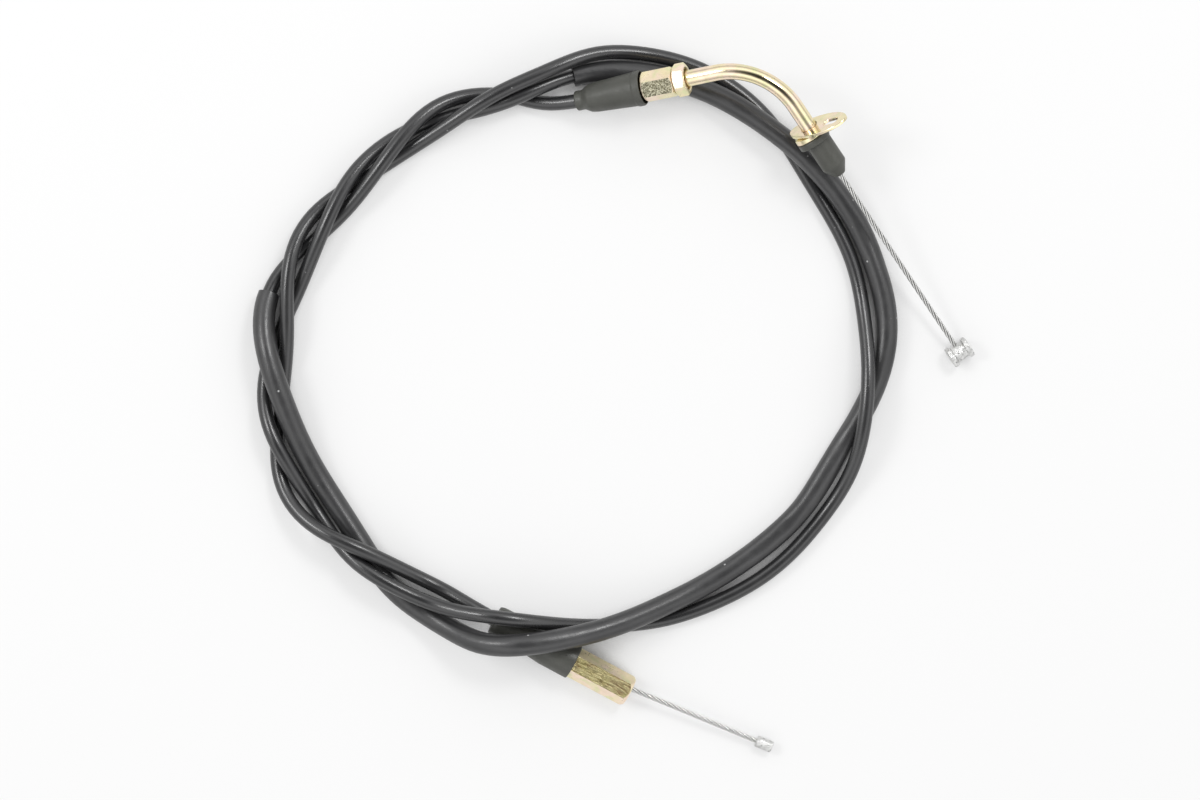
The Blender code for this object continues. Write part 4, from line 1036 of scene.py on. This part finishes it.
def makeUpperBoot():
    mouth, waistRadius, tipRadius = upper["bootMouth"], upper["bootWaist"], upper["bootTip"]
    tipHigh = bootTip + upper["bootTipLength"]
    shoulder = tipHigh + 0.0024
    waist = shoulder + 0.0024
    throat = cable["conduit"] + fit["gap"]
    lip, wall = 0.0005, upper["bootWall"]
    profile = [(mouth - lip, bootMouth), (mouth, bootMouth - lip), (mouth, bootMouth - 0.0024),
               (mouth - 0.0003, bootMouth - 0.0030), (waistRadius, waist), (waistRadius - 0.0004, shoulder),
               (tipRadius, tipHigh), (tipRadius, bootTip + lip * 0.6), (tipRadius - lip * 0.6, bootTip),
               (throat, bootTip), (throat, shoulder), (waistRadius - wall, waist + 0.0015),
               (mouth - wall, bootMouth - 0.0030), (mouth - wall, bootMouth)]
    return lathe("upperBoot", profile, upperFrame, 0.0005)


def makeLowerBoot():
    cornerRoom = lower["flats"] / math.sqrt(3.0) + 0.0001
    chamber, throat = lower["capRadius"] + fit["gap"], cable["conduit"] + fit["gap"]
    step = lowerLow - fit["gap"]
    capLow = lowerCapHigh - lower["capLength"] - fit["gap"]
    radius, tail, lip = lower["bootRadius"], lower["bootTail"], 0.0003
    profile = [(radius - lip, lowerMouth), (radius, lowerMouth - lip), (radius, step - 0.0015),
               (radius - 0.0006, capLow), (tail, lowerTip + 0.0016), (tail - 0.0003, lowerTip + 0.0007),
               (lower["bootTip"], lowerTip), (throat, lowerTip), (throat, capLow), (chamber, capLow),
               (chamber, step), (cornerRoom, step), (cornerRoom, lowerMouth)]
    return lathe("lowerBoot", profile, lowerFrame, 0.0004)


def makeElbow():
    # One shell: the threaded end with its helix, then the bent pipe
    sides = 48
    angles = aroundCircle(sides)
    pitch, depth = thread["pitch"], thread["depth"]
    stations = np.arange(threadLow, -upper["threadBack"] + 1e-9, pitch / thread["perPitch"])
    outer, path = [], []
    for s in stations:
        rise = np.abs(2 * np.mod(s / pitch - angles / (2 * math.pi), 1.0) - 1.0)
        fade = min(1.0, (s - threadLow) / pitch, (-upper["threadBack"] - s) / pitch)
        outer.append(upper["thread"] - depth * (1.0 - fade * rise) * 0.9)
        path.append(alongUpper(s))
    straight = (elbowCorner - nutFace).length - arcReach
    path.append(alongUpper(-upper["threadBack"] + 0.00002))
    outer.append(np.full(sides, elbow["pipe"]))
    for s in np.linspace(-upper["threadBack"] + 0.001, straight, 12, endpoint=False):
        path.append(alongUpper(s))
        outer.append(np.full(sides, elbow["pipe"]))
    for k, point in enumerate(arcPoints):
        path.append(point)
        squash = 0.00006 * math.sin(math.pi * k / (len(arcPoints) - 1)) ** 2  # a bent pipe flattens a little
        outer.append(elbow["pipe"] + squash * np.cos(2 * angles + math.pi))
    for s in np.linspace(arcEnd, elbow["pastPlate"], 12)[1:]:
        path.append(alongSeat(s))
        outer.append(np.full(sides, elbow["pipe"]))
    inner = [np.full(sides, elbow["bore"]) for k in path]
    return tubeAlong("elbowPipe", [tuple(point) for point in path], outer, sides, inner)


def discMesh(label, frameHere, radiusX, radiusY, low, high, shift=0.0, segments=96):
    angles = aroundCircle(segments)
    across, along = radiusX * np.cos(angles) + shift, radiusY * np.sin(angles)
    rings = [np.stack([across, along, np.full(segments, z)], axis=1) for z in (low, high)]
    return ringMesh(label, rings, False, frameHere)


def pipeHole(low, high):
    radius = elbow["pipe"] + fit["gap"]
    return discMesh("pipeHole", seatFrame, radius, radius, low, high, segments=64)


def makePlate():
    half = plate["thickness"] / 2
    mesh = discMesh("retainingPlate", plateFrame, plate["length"] / 2, plate["width"] / 2, -half, half,
                    plate["holeOffset"])
    mesh = cutWith(mesh, pipeHole(-0.003, 0.003))
    angles = aroundCircle(48)
    radius = plate["slotWidth"] / 2
    reach = plate["slotLength"] / 2 - radius
    rings = [np.stack([radius * np.cos(angles) + plate["slotOffset"] + reach * np.sign(np.cos(angles) + 1e-9),
                       radius * np.sin(angles), np.full(48, z)], axis=1) for z in (-0.002, 0.002)]
    return cutWith(mesh, ringMesh("slot", rings, False, plateFrame))


def makeCollar():
    radius, edge = plate["collarRadius"], 0.0003
    low = plate["collarLow"]
    profile = [(0.0, collarHigh), (radius - edge, collarHigh), (radius, collarHigh - edge),
               (radius, low + edge), (radius - edge, low), (0.0, low)]
    mesh = lathe("plateCollar", profile, flangeFrame, 0.0001, closed=False)
    mesh = cutWith(mesh, pipeHole(-0.006, 0.006))
    reach, high = 0.010, plate["thickness"] / 2 + fit["brazed"]
    box = bmesh.new()
    bmesh.ops.create_cube(box, size=1.0)
    bmesh.ops.scale(box, verts=box.verts, vec=(4 * reach, 4 * reach, reach + high))
    bmesh.ops.translate(box, verts=box.verts, vec=(0.0, 0.0, (high - reach) / 2))
    bmesh.ops.transform(box, matrix=plateFrame, verts=box.verts)
    boxMesh = bpy.data.meshes.new("plateSpace")
    box.to_mesh(boxMesh)
    box.free()
    return cutWith(mesh, boxMesh)


def makeSeal():
    edge = 0.0004
    flange = sealLow + seal["flange"]
    body = flange + seal["body"]
    radius, tip = seal["radius"], seal["tip"]
    profile = [(0.0, sealHigh), (tip - edge, sealHigh), (tip, sealHigh - edge), (radius - 0.0003, body),
               (radius, body - 0.0006), (radius, sealLow + 2 * edge), (0.0, sealLow + 2 * edge)]
    mesh = lathe("pipeSeal", profile, seatFrame, 0.0004, closed=False)
    wide = plate["collarRadius"]
    disc = [(0.0, flange), (wide - edge, flange), (wide, flange - edge), (wide, sealLow + edge),
            (wide - edge, sealLow), (0.0, sealLow)]
    mesh = cutWith(mesh, lathe("sealFlange", disc, flangeFrame, 0.0003, closed=False), "UNION")
    pipeEnd, inner, hole = elbow["pastPlate"] + fit["gap"], elbow["pipe"] + fit["gap"], fit["wireHole"]
    inside = [(0.0, sealHigh + 0.001), (hole, sealHigh + 0.001), (hole, pipeEnd), (inner, pipeEnd),
              (inner, sealLow - 0.001), (0.0, sealLow - 0.001)]
    return cutWith(mesh, lathe("sealHole", inside, seatFrame, 0.00005, closed=False))


def hexFacet(label, mesh, finish, axisPoint, axisWay, clear):
    return facetFinish(addPiece(label, mesh, "softZinc"), finish, axisPoint, axisWay, clear)


dress(addPiece("lockNut", makeNut(), "softZinc"), "nut", "zinc_gold", "lock_nut")
adjusterBody = hexFacet("adjusterBody", makeAdjuster(), "speckled", nutFace, upperWay, upper["facetClear"])
dress(adjusterBody, "adjuster", "zinc_gold", "adjuster_body")
dress(addPiece("upperBoot", makeUpperBoot(), "rubber"), "conduit", "olive_rubber", "upper_boot")
lowerHex = hexFacet("lowerHex", makeLowerHex(), "streaked", lowerEnd, lowerWay, lower["facetClear"])
dress(lowerHex, "conduit", "zinc_gold", "lower_hex")
dress(addPiece("lowerBoot", makeLowerBoot(), "rubber"), "conduit", "olive_rubber", "lower_boot")
dress(addPiece("elbowPipe", makeElbow(), "zinc"), "elbow", "zinc_gold", "elbow_pipe")


def shapedPiece(label, mesh, finish, width, slotName, node):
    tidyMesh(mesh)
    piece = addPiece(label, mesh, finish)
    roundEdges(piece, width)
    dress(piece, "elbow", slotName, node)


shapedPiece("retainingPlate", makePlate(), "zinc", 0.00022, "zinc_gold", "retaining_plate")
shapedPiece("plateCollar", makeCollar(), "zinc", 0.0001, "zinc_gold", "plate_collar")
shapedPiece("pipeSeal", makeSeal(), "rubber", 0.00015, "olive_rubber", "pipe_seal")
print("fittings made")

# CAD nodes that stay get their finish
nodeFinishes = {
    "upper_end_cap": "zinc", "lower_end_cap": "zinc", "elbow_liner": "liner", "elbow_wire": "plainSteel",
}
for name, finish in nodeFinishes.items():
    for materialSlot in nodes[name].material_slots:
        materialSlot.material = looks[finish]

# Studio
studio = {
    "floorSize": 6.0, "keyPower": 6.5, "keyPlace": (0.50, 0.70, 1.25), "keySize": 0.42,
    "fillPower": 4.0, "fillPlace": (-0.85, 0.30, 1.00), "fillSize": 0.4,
    "shadeReach": 0.03, "shade": (0.24, 0.52, 0.02, 0.51), "floorLow": -0.0003,
    "bounced": (0.80, 0.80, 0.80, 1.0), "lit": (0.355, 0.355, 0.355, 1.0),
    "roomTones": [
        (0.0, 0.50), (0.30, 0.85), (0.60, 1.45), (0.78, 1.40), (0.88, 0.50), (0.95, 0.06), (1.0, 0.03)],
}


def makeFloor():
    half = studio["floorSize"] / 2
    mesh = bpy.data.meshes.new("tableTop")
    corners = [(-half, -half), (half, -half), (half, half), (-half, half)]
    mesh.from_pydata([(x, y, studio["floorLow"]) for x, y in corners], [], [(0, 1, 2, 3)])
    made = bpy.data.materials.new("tableTop")
    made.use_nodes = True
    tree = made.node_tree
    tree.nodes.clear()
    plain = put(tree, "ShaderNodeBsdfDiffuse", Color=studio["bounced"])
    lit = put(tree, "ShaderNodeBsdfDiffuse", Color=studio["lit"])
    # Painted shade: ambient occlusion dims the floor's glow seen by the camera, darkening the floor in the gaps
    # between strands and close beside the parts
    clear = put(tree, "ShaderNodeAmbientOcclusion", {"samples": 8}, Distance=studio["shadeReach"])
    share = remap(tree, clear.outputs["AO"], *studio["shade"])
    glowWithPaintedShade = put(tree, "ShaderNodeEmission", Color=white, Strength=share)
    both = put(tree, "ShaderNodeAddShader", i0=lit.outputs[0], i1=glowWithPaintedShade.outputs[0])
    path = tree.nodes.new("ShaderNodeLightPath")
    seen = mathStep(tree, "MAXIMUM", path.outputs["Is Camera Ray"], path.outputs["Is Glossy Ray"])
    mixed = put(tree, "ShaderNodeMixShader", i0=seen, i1=plain.outputs[0], i2=both.outputs[0])
    end = tree.nodes.new("ShaderNodeOutputMaterial")
    tree.links.new(mixed.outputs[0], end.inputs["Surface"])
    mesh.materials.append(made)
    placeObject("tableTop", mesh)


def makeWorld():
    world = bpy.data.worlds.new("studioRoom")
    bpy.context.scene.world = world
    world.use_nodes = True
    tree = world.node_tree
    tree.nodes.clear()
    place = put(tree, "ShaderNodeTexCoord").outputs["Generated"]
    height = put(tree, "ShaderNodeSeparateXYZ", i0=place).outputs[2]
    ramp = put(tree, "ShaderNodeValToRGB", i0=height)
    stops = studio["roomTones"]
    ramp.color_ramp.elements[0].position = stops[0][0]
    ramp.color_ramp.elements[1].position = stops[-1][0]
    for position, tone in stops[1:-1]:
        ramp.color_ramp.elements.new(position)
    for element, (position, tone) in zip(ramp.color_ramp.elements, stops):
        element.color = (tone, tone, tone, 1.0)
    room = put(tree, "ShaderNodeBackground", Color=ramp.outputs[0], Strength=1.0)
    plain = put(tree, "ShaderNodeBackground", Color=white, Strength=1.0)
    seen = tree.nodes.new("ShaderNodeLightPath").outputs["Is Camera Ray"]
    mixed = put(tree, "ShaderNodeMixShader", i0=seen, i1=room.outputs[0], i2=plain.outputs[0])
    end = tree.nodes.new("ShaderNodeOutputWorld")
    tree.links.new(mixed.outputs[0], end.inputs["Surface"])


def makeLamp(label, place, size, power):
    data = bpy.data.lights.new(label, "AREA")
    data.shape = "DISK"
    data.size = size
    data.energy = power
    lamp = placeObject(label, data)
    lamp.location = place
    lamp.rotation_euler = (Vector((0.0, 0.0, 0.0)) - Vector(place)).to_track_quat("-Z", "Y").to_euler()


makeFloor()
makeWorld()
makeLamp("keyLamp", studio["keyPlace"], studio["keySize"], studio["keyPower"])
makeLamp("fillLamp", studio["fillPlace"], studio["fillSize"], studio["fillPower"])
bpy.context.scene.view_settings.view_transform = "Standard"
print("studio made")
